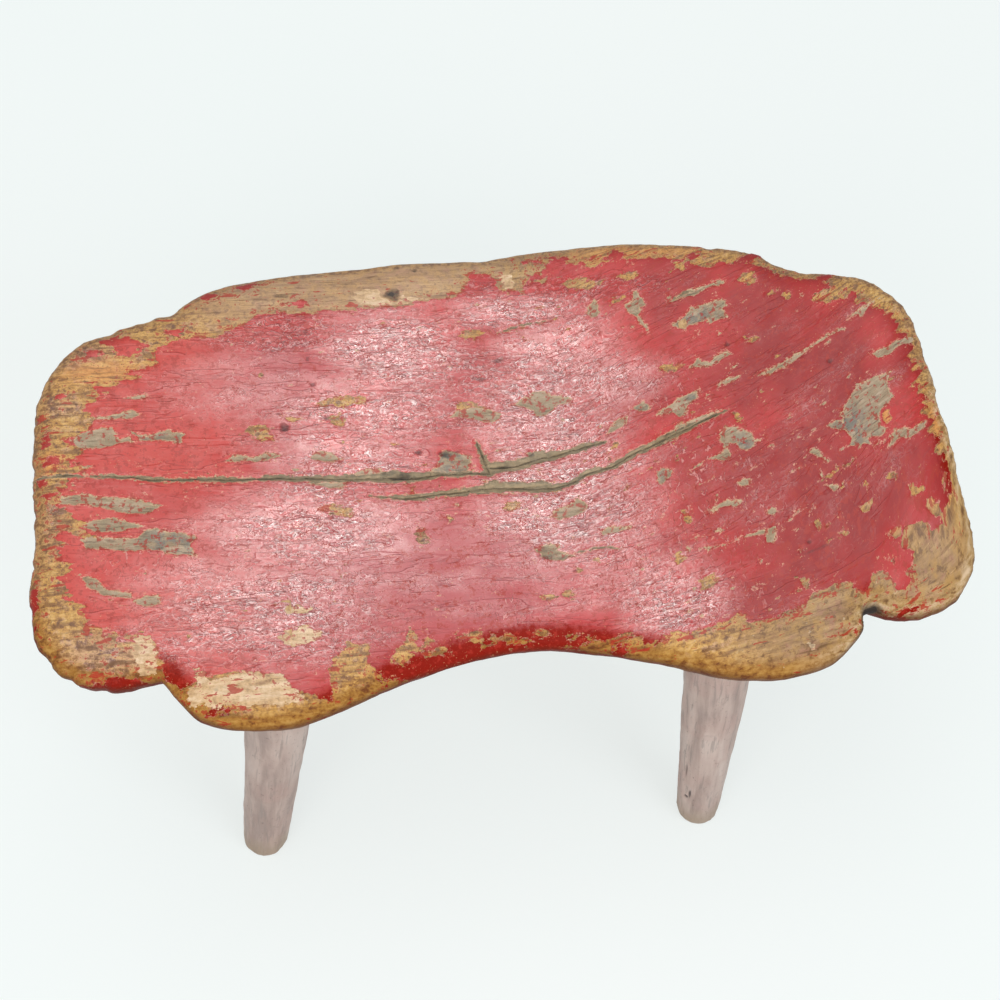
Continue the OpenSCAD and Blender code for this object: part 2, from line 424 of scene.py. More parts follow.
def widest_loop(mesh):
    """The widest line of a mesh as points in order, in millimetres, anticlockwise from above."""
    neighbours = {}
    for edge in mesh.edges:
        looks_up = [face.normal.z > 0 for face in edge.link_faces]
        if len(looks_up) == 2 and looks_up[0] != looks_up[1]:
            first, second = edge.verts
            neighbours.setdefault(first, []).append(second)
            neighbours.setdefault(second, []).append(first)
    start = max(neighbours, key=lambda vertex: vertex.co.x)
    loop = [start, neighbours[start][0]]
    while loop[-1] is not start:
        onward = [vertex for vertex in neighbours[loop[-1]] if vertex is not loop[-2]]
        loop.append(onward[0])
    points = np.array([vertex.co[:] for vertex in loop[:-1]]) / MM
    following = np.roll(points, -1, 0)
    area = np.sum(points[:, 0] * following[:, 1] - following[:, 0] * points[:, 1])
    return points if area > 0 else points[::-1]


seat_frame = joined_mesh("seat")
frame_edge = widest_loop(seat_frame)
print("the frame's edge has", len(frame_edge), "points")

# %% Draw the fair curve of the edge
EDGE_STEP = 1.05
SHARP_TURN = 21


def fair_loop(points, step, sharp):
    """A smooth closed curve through points, cornered where the edge turns by more than sharp."""
    ahead = np.roll(points, -1, 0) - points
    heading = np.degrees(np.arctan2(ahead[:, 1], ahead[:, 0]))
    turn = (heading - np.roll(heading, 1) + 180) % 360 - 180
    corner = np.abs(turn) > sharp
    count = len(points)
    made = []
    for k in range(count):
        here, there = points[k], points[(k + 1) % count]
        before = 2 * here - there if corner[k] else points[k - 1]
        beyond = 2 * there - here if corner[(k + 1) % count] else points[(k + 2) % count]
        pieces = max(1, round(np.linalg.norm(there - here) / step))
        t = np.arange(pieces)[:, None] / pieces
        made.append(0.5 * (
            2 * here
            + (there - before) * t
            + (2 * before - 5 * here + 4 * there - beyond) * t**2
            + (beyond - before + 3 * (here - there)) * t**3
        ))
    return np.concatenate(made), corner.sum()


def outward(points):
    """The direction out of a closed anticlockwise curve at each of its points."""
    along = np.roll(points, -1, 0) - np.roll(points, 1, 0)
    along /= np.linalg.norm(along, axis=1)[:, None]
    return np.stack([along[:, 1], -along[:, 0]], 1)


fair_edge, corner_count = fair_loop(frame_edge, EDGE_STEP, SHARP_TURN)
print("the fair edge has", len(fair_edge), "points and", corner_count, "corners")

# %% [markdown]
# ## The maker's and the years' changes to the edge
# A hand-cut edge departs from the fair curve by a millimetre or two. Each entry below is a place
# on the edge, how far the real edge stands out there, and how far along the edge that reaches.
# Small crumbled nicks come on top, mostly on the two ends, where the grain is cut across.

# %% Cut the edge by hand
HAND_CUT = [
    (-144, 75, -1.0, 8), (-61, 98, -1.6, 18), (10, 102, 1.1, 18), (50, 105, 1.1, 16),
    (137, 86, -1.8, 9), (179, 44, -1.2, 12), (180, 16, -1.9, 16), (181, -22, -1.1, 10),
    (178, -54, 2.6, 10), (166, -69, 2.2, 9), (152, -73, 1.0, 8), (130, -78, 1.2, 6),
    (118, -89, 1.9, 8), (5, -79, -1.3, 14), (-69, -97, 0.6, 10), (-119, -97, 1.1, 6),
    (-140, -82, -1.0, 14), (-177, -64, 1.9, 8), (-179, -22, -2.2, 12), (-179, 34, 1.4, 12),
]
NICKS = [
    (-181, 7, 0.9, 2.2), (-180, -12, 0.8, 1.6), (-180, -34, 0.7, 1.8), (-178, -52, 0.9, 1.5),
    (-174, -72, 1.2, 2.0), (-165, -80, 1.0, 2.2), (-153, -84, 0.8, 1.6), (-152, 66, 0.8, 2.0),
    (-137, 77, 0.9, 1.8), (-128, 82, 0.6, 1.5), (97, 101, 0.9, 1.6), (124, 93, 1.1, 2.2),
    (135, 87, 0.9, 2.0), (1, 101, 0.5, 1.6), (134, -76, 2.6, 2.2), (181, -2, 0.4, 2.0),
]
END_GRAIN_FROM, END_GRAIN_TO = 120, 172


def hand_cut(points):
    """The fair edge with the departures, the wobble and the nicks of the real one."""
    out = outward(points)
    push = np.zeros(len(points))
    for x, y, distance, width in HAND_CUT:
        push += distance * np.exp(-((points[:, 0] - x) ** 2 + (points[:, 1] - y) ** 2) / (2 * width**2))
    run = np.arange(len(points)) * EDGE_STEP
    end_grain = soft_step(np.abs(points[:, 0]), END_GRAIN_FROM, END_GRAIN_TO)
    push += 0.35 * smooth_noise(run / 13, run * 0, 5, 2)
    push += (0.12 + 0.3 * end_grain) * smooth_noise(run / 2.6, run * 0, 6, 2)
    for x, y, depth, width in NICKS:
        gap = np.hypot(points[:, 0] - x, points[:, 1] - y)
        nearest = gap.min()
        push -= depth * np.exp(-((gap - nearest) / width) ** 2)
    return points[:, :2] + out * push[:, None], push


edge, edge_push = hand_cut(fair_edge)
edge_tree = KDTree(len(edge))
for index, (x, y) in enumerate(edge):
    edge_tree.insert((x, y, 0), index)
edge_tree.balance()
print("the edge is pushed by", round(edge_push.min(), 1), "to", round(edge_push.max(), 1), "mm")


def inset_of(x, y):
    """How far in from the edge each place of the plan lies, and the edge point next to it."""
    found = [edge_tree.find((px, py, 0)) for px, py in zip(x, y)]
    return np.array([item[2] for item in found]), np.array([item[1] for item in found])


# %% [markdown]
# ## The hollow
# The top is dished by a few millimetres, more along the length than across it. The frame's own
# top points tell its height, and a small least-squares fit turns them into a formula that gives
# the height anywhere on the plan.

# %% Fit the height of the hollowed top
EDGE_ROUND = 15
EDGE_DROP = 7
EDGE_BAND = 3.5
UNDER_BEVEL = 15
RISE_POWER = 2.4
IN_A_GROOVE = 0.3
LOOKS_UP = 0.98
FIT_ROUNDS = 3


def hollow_terms(x, y):
    """The terms of the hollow's formula."""
    return np.stack([np.ones_like(x), (np.abs(x) / 100) ** RISE_POWER, x * x, y * y, x * y, y], 1)


def fit_hollow(mesh):
    """The weights of the hollow's terms, from the frame's points that look straight up."""
    points = np.array([vertex.co[:] for vertex in mesh.verts if vertex.normal.z > LOOKS_UP]) / MM
    inset, _ = inset_of(*points[:, :2].T)
    points = points[inset > EDGE_ROUND + 1.5]
    for _ in range(FIT_ROUNDS):
        terms = hollow_terms(*points[:, :2].T)
        weights, _, _, _ = np.linalg.lstsq(terms, points[:, 2], rcond=None)
        misses = np.abs(terms @ weights - points[:, 2])
        points = points[misses < IN_A_GROOVE]
    print("the hollow fits the frame within", round(misses.max(), 2), "mm")
    return weights


hollow_weights = fit_hollow(seat_frame)
underside = min(vertex.co.z for vertex in seat_frame.verts) / MM


def hollow_height(x, y):
    """The height of the smooth top over a place in the plan, in millimetres."""
    return hollow_terms(x, y) @ hollow_weights


def round_over(inset):
    """How far the rounded edge lies below the top, at an inset from the edge."""
    share = 1 - np.clip(inset / EDGE_ROUND, 0, 1)
    return EDGE_DROP * (1 - np.sqrt(np.maximum(1 - share * share, 0)))


print("lowest point of the top", round(float(hollow_height(np.zeros(1), np.zeros(1))[0]), 1), "mm")

# %% [markdown]
# ## The run of the grain
# The plank's fibres run straight from the left end to the middle and then sweep up to the right
# round a vanished branch. Cracks, chips and brush marks all follow them. A pair of coordinates,
# one along the grain and one across it, lets noise and textures follow them too.

# %% Grain coordinates
GRAIN_X = np.linspace(-200, 200, 401)
GRAIN_SLOPE = 0.42 * soft_step(GRAIN_X, 8, 45) + 0.25 * soft_step(GRAIN_X, 85, 150)
GRAIN_RISE = np.cumsum(GRAIN_SLOPE) * (GRAIN_X[1] - GRAIN_X[0])


def grain_fan(y):
    """How much of the sweep a place takes: less at the front of the plank."""
    return 0.45 + 0.55 * soft_step(y, -75, 5)


def grain_place(x, y):
    """A place's coordinates along and across the grain, in millimetres."""
    return x + 0.25 * y * grain_slope(x, y), y - np.interp(x, GRAIN_X, GRAIN_RISE) * grain_fan(y)


def grain_slope(x, y):
    """The slope of the fibres at a place in the plan."""
    return np.interp(x, GRAIN_X, GRAIN_SLOPE) * grain_fan(y)


print("the fibres reach a slope of", round(float(GRAIN_SLOPE.max()), 2))

# %% [markdown]
# ## A map of the wear
# The real stool can be read like a map: where the rim is worn to the ochre ground, where flakes
# fell off down to grey wood, and where the plank cracked. Each mark is noted once, as a place and
# a size in millimetres, and becomes a depth: positive inside the mark and negative outside it.
# Such depths stay smooth between mesh points, so one map can cut the mesh, drive the colours and
# keep both in register. A painted image could hold the same, but it would fix the resolution.

# %% Where the rim is worn through
WEAR_LINE = [
    (-121, 63), (-113, 63), (-105, 65), (-97, 69), (-92, 73), (-84, 74), (-75, 73), (-62, 74), (-45, 75),
    (-33, 75), (-22, 78), (-9, 79), (-6, 85), (-4, 90), (3, 89), (6, 84), (8, 80), (17, 80), (19, 86),
    (27, 90), (33, 94), (40, 91), (48, 91), (56, 94), (61, 92), (72, 93), (83, 91), (92, 86), (99, 88),
    (110, 87), (118, 84), (128, 79), (139, 75), (148, 71), (152, 64), (159, 58), (166, 53), (170, 45),
    (171, 30), (171, 14), (171, 2), (172, -10), (174, -20), (172, -27), (166, -38), (168, -42), (158, -40),
    (152, -41), (151, -52), (150, -62), (145, -67), (143, -60), (139, -59), (135, -59), (132, -67),
    (125, -62), (119, -63), (110, -66), (105, -71), (93, -75), (87, -76), (83, -71), (74, -74), (60, -78),
    (48, -80), (38, -76), (31, -77), (27, -74), (20, -79), (8, -79), (-10, -80), (-30, -83), (-44, -85),
    (-50, -88), (-56, -84), (-57, -74), (-64, -73), (-71, -83), (-71, -94), (-84, -91), (-92, -84),
    (-105, -82), (-117, -84), (-125, -88), (-130, -80), (-133, -68), (-143, -66), (-157, -63), (-160, -52),
    (-166, -46), (-165, -36), (-166, -28), (-170, -22), (-160, -19), (-170, -12), (-168, -6), (-161, -5),
    (-164, 0), (-158, 5), (-163, 9), (-161, 14), (-166, 18), (-158, 25), (-160, 34), (-154, 40),
    (-147, 43), (-140, 47), (-132, 50), (-133, 58), (-127, 61),
]
RED_LEFT = [
    (-144, 60, 15, 8), (-156, 57, 8, 5), (-124, 66, 8, 4), (-112, 84, 9, 4), (-96, 88, 7, 3), (-77, 78, 8, 3),
    (-174, 18, 3, 8), (-172, 9, 5, 3), (-175, 0, 3, 5), (-171, -6, 6, 2), (-168, 38, 4, 3),
    (-177, -52, 3, 12),
    (-163, -30, 8, 4), (-163, -45, 7, 8), (22, 94, 9, 4), (32, 92, 12, 6), (57, 95, 5, 4), (88, 92, 7, 3),
    (112, 90, 14, 4), (140, 77, 14, 3), (-148, -83, 20, 4), (-112, -96, 8, 3), (-38, -84, 22, 5),
    (-12, -79, 26, 6), (6, -78, 20, 5), (36, -81, 5, 5), (21, -77, 12, 3), (142, -76, 14, 2),
]
MIXED = [
    (-150, -73, 36, 26), (-152, 56, 36, 30), (-172, 0, 22, 120), (-10, -78, 90, 10), (40, -80, 40, 10),
    (50, 95, 100, 14), (125, 84, 60, 12), (140, -58, 22, 14), (-95, 88, 80, 10), (-45, -80, 22, 20),
    (176, 10, 12, 60),
]
FAR = 6
NOWHERE = 99.0


def edge_depth(x, y, corners):
    """The depth of each place inside a closed line of corners; negative outside."""
    start = np.array(corners, float)
    end = np.roll(start, -1, 0)
    run = end - start
    gap_x, gap_y = x[:, None] - start[:, 0], y[:, None] - start[:, 1]
    share = np.clip((gap_x * run[:, 0] + gap_y * run[:, 1]) / (run**2).sum(1), 0, 1)
    distance = np.hypot(gap_x - share * run[:, 0], gap_y - share * run[:, 1]).min(1)
    passes = (start[:, 1] > y[:, None]) != (end[:, 1] > y[:, None])
    with np.errstate(divide="ignore", invalid="ignore"):
        cut = start[:, 0] + (y[:, None] - start[:, 1]) * run[:, 0] / run[:, 1]
    inside = (passes & (x[:, None] < cut)).sum(1) % 2 == 1
    return np.where(inside, distance, -distance)


def patch_depth(x, y, patches):
    """The depth inside the nearest of several closed lines; FAR outside is as far as it counts."""
    depth = np.full(len(x), -float(FAR))
    for corners in patches:
        low, high = np.min(corners, 0) - FAR, np.max(corners, 0) + FAR
        near = (x > low[0]) & (x < high[0]) & (y > low[1]) & (y < high[1])
        depth[near] = np.maximum(depth[near], edge_depth(x[near], y[near], corners))
    return depth


def spot_depth(x, y, spots, ragged):
    """The depth inside the nearest oval of a list; ragged bends an oval's edge by its own size."""
    depth = np.full(len(x), -NOWHERE)
    for px, py, length, width, *turn in spots:
        lean = math.atan(grain_slope(np.array([px]), np.array([py]))[0])
        angle = math.radians(turn[0]) if turn else lean
        along = (x - px) * math.cos(angle) + (y - py) * math.sin(angle)
        across = (y - py) * math.cos(angle) - (x - px) * math.sin(angle)
        half = min(length, width) / 2
        share = np.hypot(2 * along / length, 2 * across / width)
        depth = np.maximum(depth, (1 - share + 0.75 * ragged) * min(half, 4) + 0.1)
    return depth


print("the wear line has", len(WEAR_LINE), "corners")

# %% Where flakes fell off
GREY_PATCHES = [
    [(137, 8), (136, 12), (139, 16), (142, 20), (145, 25), (149, 26.5), (153, 28), (159.5, 30), (157, 25),
     (156.5, 22), (158, 18), (155, 14.5), (152.5, 13), (150.5, 9), (151, 5), (153, 4), (150, 1), (145, 0),
     (145.5, -3), (143, -2), (141, -3), (138, -3), (138, 2), (137, 4.5), (130, 6.7), (130, 7.5), (135, 9)],
    [(152, -5), (154, 0.5), (155, 3), (160, 3), (163, 3), (167, 5.5), (170, 5.5), (168, 3), (165, 1),
     (161, -1.5), (157, -1)],
    [(75, 58.5), (79, 61.5), (81, 63), (84, 66.5), (88, 68), (91, 68), (95, 70), (99, 69.5), (97, 65.5),
     (98.5, 61.5), (95, 60.8), (91, 59), (91, 61.5), (88, 60), (85, 59.5), (81, 58), (80, 56), (78.5, 58)],
    [(74, 70), (80, 74), (85, 75.5), (92, 77.5), (100, 79.5), (99, 78), (92, 76), (86, 73), (80, 71.5)],
    [(79.5, 38.5), (82, 42), (83, 43.5), (84.5, 40.7), (88, 40.5), (92, 44), (95, 45.3), (97, 44),
     (92.5, 41.3), (88, 38.5), (84, 38.5)],
    [(89.5, 28.5), (91.5, 31.5), (97, 33.5), (99, 33.5), (95, 30.5)],
    [(104, 32.3), (110, 35), (116, 37.5), (120, 39.5), (130, 45.3), (141, 51), (145, 52.2), (144, 50.8),
     (140, 49.7), (130, 44.7), (122, 38.5), (118, 36), (112, 33.7)],
    [(63, 18), (66, 20.5), (70, 22.5), (73, 25), (77, 26.5), (82, 28), (80, 24), (76.5, 21), (75, 17.5),
     (73, 16.7), (70, 18.5), (66, 18)],
    [(153, 38), (156, 39.7), (161, 41), (165, 44), (171, 45.3), (171, 43), (165, 41), (161, 38), (155.5, 36)],
    [(146, 56), (149, 58), (151, 59.5), (156, 62.5), (165, 67), (160, 63.8), (154, 59.5), (152.5, 56.5),
     (151, 57.5)],
    [(87, 5), (87, 8), (90, 10), (94, 10), (97, 7.3), (100, 6.3), (101.3, 3.5), (100, 0.5), (96.5, -0.8),
     (93.5, 0), (93, 2.7), (90, 3.7), (88.5, 1), (90, -2), (89.5, -4), (86, -4.5), (82, -3.2), (87, -1),
     (87.5, 2)],
    [(60, 5), (66, 8.7), (72, 12.7), (80, 16.3), (89.5, 18.3), (84, 15.3), (76, 11), (70, 7), (65, 4),
     (60, 3)],
    [(60, -8), (63, -6), (67, -7.3), (66, -9.7), (63, -11), (61, -13), (59.5, -12)],
    [(90, -15.3), (93, -13.7), (96, -14), (95, -16.7), (92, -16.7)],
    [(77, -26.7), (83, -23.7), (86, -21.5), (87, -23), (92, -23.5), (90, -25.2), (84, -25.3)],
    [(100, -29), (102, -26.5), (103.7, -29), (102, -31)],
    [(72, -42.3), (76, -41.8), (82, -41.3), (90, -38.7), (98, -36.6), (103.5, -35), (102, -39), (100.5, -42),
     (98, -42), (99.5, -38), (90, -39.2), (82, -42)],
    [(125, -19), (130, -20), (128, -22)],
    [(121, -4), (123.5, -2.5), (125, -6), (128.5, -9.3), (125, -7.3)],
    [(43, 11), (44, 14), (48, 17), (51.5, 17.7), (51, 15), (48, 13)],
    [(54, 21.5), (57, 23), (58, 25), (60, 23.5), (62, 22), (60, 20.5), (57, 20)],
    [(40, 67), (43, 71), (45, 74), (46.5, 70), (46, 66), (43, 65.3)],
    [(57, 70), (60, 72), (61, 77), (63, 77), (64, 73), (66, 70), (63, 68), (62, 65), (66, 57.5), (65, 57),
     (61, 64), (58, 67)],
    [(6, 26), (10, 28), (14, 29.5), (15, 32), (19, 32), (23, 29.5), (31, 28), (30, 25.5), (25, 26), (23, 23),
     (20, 21), (16, 20), (15, 23.5), (11, 25)],
    [(-18, 22), (-15, 25), (-8, 26), (-5, 25.5), (-1, 24.5), (2, 22.5), (0, 20), (-4, 19), (-8, 20.7),
     (-13, 22)],
    [(-28, -2), (-25, 0), (-24, 4), (-22, 7), (-17, 6), (-12, 4.5), (-13, 0.5), (-14, -2), (-17, -3.5),
     (-27, -3.5)],
    [(-57, -1), (-54, 0.8), (-47, 0.5), (-44, -2.5), (-57, -3.3)],
    [(-75, -4), (-60, -4), (-61, -6.3), (-66, -7)],
    [(16, -25), (19, -22), (24, -20.7), (28, -17.3), (31, -19), (32, -21.5), (28, -24), (22, -25)],
    [(9, -38), (14, -36), (19, -37), (17.5, -39), (21, -41), (24, -42), (20, -43.2), (13, -42.7),
     (11.5, -40)],
    [(34.5, -32.5), (38, -31), (48, -30.8), (42, -32.6), (36, -34.2)],
    [(-106, 7), (-103, 9), (-96, 8), (-91, 9.7), (-84, 8.7), (-87, 7), (-95, 6.3)],
    [(-74, 7), (-70, 9.5), (-66, 8.3), (-62, 5.5), (-68, 5)],
    [(-165, 17), (-160, 20.7), (-155, 22), (-149, 23), (-147, 20), (-148.5, 19), (-145, 17.5), (-142, 19),
     (-141, 16.5), (-152, 14.3), (-160, 14)],
    [(-143, 22), (-141, 19.5), (-134, 19.3), (-128, 21), (-122, 19), (-123, 15.5), (-130, 17), (-138, 17.5)],
    [(-158, 27), (-150, 28), (-145, 29.5), (-141, 30), (-138.5, 28), (-144, 26.7)],
    [(-168, -7), (-160, -6), (-150, -7.5), (-143, -8), (-138, -9.5), (-130, -12), (-136, -15), (-147, -13.5),
     (-157, -10.5), (-168, -10)],
    [(-160, -20), (-155, -17), (-148, -16.5), (-138, -20.5), (-145, -22), (-155, -22.7)],
    [(-160, -25), (-150, -25), (-140, -25.3), (-137, -22.5), (-133, -21.5), (-128, -23.5), (-118, -25),
     (-120, -29.5), (-117.5, -34), (-126, -33), (-131, -31), (-140, -30.5), (-158, -29.5)],
    [(-160, -40), (-157, -45), (-153, -48), (-147, -50), (-141, -50), (-142, -48), (-150, -46.5),
     (-154, -43)],
    [(-141, -52), (-137, -49.5), (-132, -49.7), (-131, -53), (-137, -54)],
    [(-145, 36.5), (-139, 37.5), (-134, 37), (-137, 35.5)],
]
OCHRE_PATCHES = [
    [(152.5, 8), (153.5, 11.5), (155.3, 11), (155.5, 7), (154, 5.3)],
    [(160.5, -33), (162, -29.5), (166, -29.5), (165.5, -33), (167, -36), (164, -37)],
    [(155, -29), (157, -25), (155.5, -21.5), (158, -23), (162, -25), (159.5, -27)],
    [(-15, 25), (-13, 28.5), (-8, 28.5), (-4, 26), (-8, 25.5)],
    [(-12, 60), (-8, 62.5), (-4, 62), (-2, 60), (-5, 58), (-10, 58.3)],
    [(-73, 30), (-62, 33.7), (-56, 34), (-51, 33), (-49.5, 31), (-58, 29), (-66, 29.5)],
    [(-97, 19), (-96, 22), (-91, 22.5), (-89, 19), (-87, 15), (-92, 15)],
    [(-66, 24), (-61, 26), (-60, 23), (-61, 20), (-64, 21)],
    [(-73, -16), (-70, -14.5), (-64, -14.5), (-59, -17), (-57.5, -19), (-60, -20), (-68, -18)],
    [(-1, -20), (0, -17.5), (3, -16.3), (6, -17), (4, -20), (1, -21.5)],
    [(33, 82), (36, 86), (38, 84), (45, 83), (50, 82), (48, 79.5), (40, 79), (35, 80)],
    [(105, 79), (108, 82), (112, 82), (113, 78), (110, 76)],
    [(122, 70), (125, 71), (126, 68), (123.5, 67)],
    [(134, 66), (138, 71), (144, 73), (150, 70), (148, 66), (140, 65)],
    [(-45, -75), (-42, -72), (-41, -68.5), (-39, -69.5), (-38, -75), (-44, -83), (-49, -82)],
    [(-172, -17), (-160, -22), (-153, -25.5), (-168, -22)],
    [(-84, 26), (-78, 25), (-75, 24), (-80, 23.5)],
]
CREAM_PATCHES = [
    [(-122, -93), (-122, -87), (-118, -86), (-119, -80), (-116, -80), (-114, -85), (-106, -82), (-97, -82),
     (-87, -85), (-83, -91), (-79, -94), (-90, -95), (-110, -95)],
    [(-55, 79), (-52, 82), (-47, 84.5), (-42, 83), (-42, 80), (-36, 77.3), (-33, 79), (-24, 79), (-33, 75.7),
     (-45, 76.5)],
    [(-89, -69), (-84, -65.5), (-77, -65), (-73, -68), (-75, -71), (-84, -73)],
    [(-89, -57), (-84, -56), (-76, -57.5), (-78, -60), (-85, -59)],
    [(138, -2.7), (138, 3), (142, 1.5), (145, 0), (145, -2.7), (141, -1.8)],
    [(90, 60), (93, 64), (95, 69.5), (99, 69.3), (97, 65.5), (98.3, 61.7), (94, 61)],
    [(-141, -66.5), (-135, -66), (-133, -72), (-133, -80), (-139, -80), (-141, -74)],
    [(7, 84), (8, 88), (12, 87), (14, 83), (10, 81.5)],
]
OCHRE_DOTS = [
    (-23, -72, 4, 3), (-17, -73, 5, 3), (-13, -77, 5, 2.6), (-10, -73, 3, 4), (-7, -74, 5, 3),
    (-2, -74, 3, 2), (18.5, -76, 4, 3), (21, -75, 3, 4), (-28, -77.5, 5, 2.4), (-34, -74, 3, 2),
    (-36, -78, 5, 2.4),
    (-2, -77, 3, 2), (3, -75, 4, 2), (8, -73, 5, 2), (-22, -23, 4, 3), (-33, -28, 4, 6), (147, -42, 4, 4),
    (54, 72, 4, 2), (60, 84, 6, 3), (24, 84, 6, 2), (82, 88, 3, 4), (117, 71, 4, 2), (151, -18, 3, 2),
    (118, -37, 2, 3), (110, -61, 3, 5), (129, -14, 7, 1), (139, -30, 6, 3), (95, 15, 2, 5), (71, 39, 6, 3),
    (69, -29, 3, 4), (64, -46, 3, 3), (106, 50, 5, 3), (73, -57, 5, 4), (20, -58, 4, 3), (12, -59, 4, 3),
]
# Dark marks: the knot, dark pits and stains, and at the front right notch painted shadow in its hole.
DARK_PATCHES = [
    [(-41, 80), (-39.5, 82.5), (-38, 84), (-36, 84), (-34.3, 83), (-34, 80), (-34.5, 77.5), (-36, 77.5),
     (-38, 79)],
    [(-34, 6.5), (-31, 9), (-29.5, 6.5), (-31, 5)],
    [(-45, -3), (-38, -1.3), (-35, -2.5), (-36, -5), (-42, -5)],
    [(128, -84), (129.5, -70.5), (132, -69.5), (136, -69.5), (138.5, -72), (138.5, -84)],
    [(94.5, 47), (96, 50), (98, 48.7), (97, 46.5)],
]
DARK_DOTS = [
    (-34, 95, 4, 2), (-27, 92, 2, 2), (1, 98, 4, 2), (-71, 40, 3, 2), (-73, 52, 2, 2), (-86, 56, 2, 1.4),
    (-83, 21, 3, 4), (-85, 27, 2, 1), (84, 73.3, 7, 0.8), (77, 24, 3, 2), (3, 47, 5, 2.4), (-5, 39, 6, 1.6),
    (114, -43, 2, 2), (-66, 24, 3, 2), (2, -1, 7, 2), (12, 3, 3, 2), (151, 18, 4, 1.6), (118, -46, 10, 1),
    (136, 37, 3, 2), (-82, 82, 9, 2), (-111, -88, 5, 2), (-108, -98, 6, 1.6), (40, -46, 3, 1),
    (-21, 5.6, 6, 3.4), (-17.5, 6, 3, 1.8), (26, -48, 5, 1), (12.5, -37.5, 3, 1.2), (14, -41.6, 8, 1.6),
    (20.5, -42.2, 6, 1.4), (14, -39, 5, 1),
]
print("patches:", len(GREY_PATCHES), "grey,", len(OCHRE_PATCHES), "ochre,", len(CREAM_PATCHES), "cream")

# %% Where the plank cracked
CRACKS = [
    [(-181, 2, 0.4), (-161, 2, 0.6), (-140, 0.5, 0.8), (-127, -1, 0.8), (-100, -1.5, 0.9),
     (-78, -2, 1.1), (-56, -3, 1.6), (-44, -3, 2.2), (-37, -4, 1.9), (-23, -3, 1.2), (-5, -4, 1.1)],
    [(-9, 11, 0.3), (-7, 4, 1.1), (-5, -3, 1.8)],
    [(-6, -1, 1.6), (5, -1, 2.2), (12, 1, 2.2), (27, 4, 1.8), (41, 7, 0.5)],
    [(-52, -11, 0.3), (-38, -13, 1.1), (-26, -12, 1.3), (-13, -11, 2.0), (-3, -10, 2.0),
     (7, -11, 2.1), (19, -12, 1.7), (27, -10, 1.3), (32, -7, 1.0), (43, -4, 1.1), (54, 2, 1.6),
     (61, 5, 1.6), (70, 9, 1.3), (79, 13, 1.0), (91, 18, 0.3)],
    [(76, 71, 0.1), (82, 74, 0.5), (88, 76, 0.1)],
    [(4, 60, 0.1), (14, 63, 0.4), (26, 65, 0.1)],
    [(24, -41, 0.1), (36, -39, 0.4), (42, -40, 0.1)],
]


def crack_places(x, y, seed=40):
    """For each place, the depth inside the nearest crack and the distance to its middle line."""
    along, across = grain_place(x, y)
    wander = 0.5 * smooth_noise(along / 5, across / 40, seed, 2)
    ragged = 0.8 * smooth_noise(along / 4.5, across / 1.6, seed + 1, 3)
    swell = 1 + 0.5 * smooth_noise(along / 7, across / 60, seed + 2, 2)
    depth = np.full(len(x), -NOWHERE)
    middle = np.full(len(x), NOWHERE)
    for crack in CRACKS:
        for (ax, ay, aw), (bx, by, bw) in zip(crack, crack[1:]):
            run_x, run_y = bx - ax, by - ay
            length = math.hypot(run_x, run_y)
            share = np.clip(((x - ax) * run_x + (y - ay) * run_y) / length**2, 0, 1)
            side = ((y - ay) * run_x - (x - ax) * run_y) / length + wander
            past = np.hypot(x - ax - share * run_x, y - ay - share * run_y)
            inside = (share > 0) & (share < 1)
            distance = np.where(inside, np.abs(side), np.hypot(past, wander))
            width = (aw + (bw - aw) * share) * swell
            depth = np.maximum(depth, width - distance + ragged * np.minimum(width, 1))
            middle = np.minimum(middle, distance)
    return depth, middle


print("cracks:", len(CRACKS))

# %% Read the map at any place
CHIP_THRESHOLD = 0.84
GREY_CHIPS = -0.1
NO_CHIP = -9


def chip_density(x, y, crack):
    """Where small chips are common: the right half, round the cracks and a spot just in front of the middle.
    """
    right_half = soft_step(x, 20, 90) * soft_step(-y, -70, 10)
    by_crack = soft_step(crack, -14, -2)
    centre = np.exp(-(((x - 25) / 40) ** 2) - (((y + 22) / 20) ** 2))
    return 0.7 * right_half + 0.6 * by_crack + 0.6 * centre


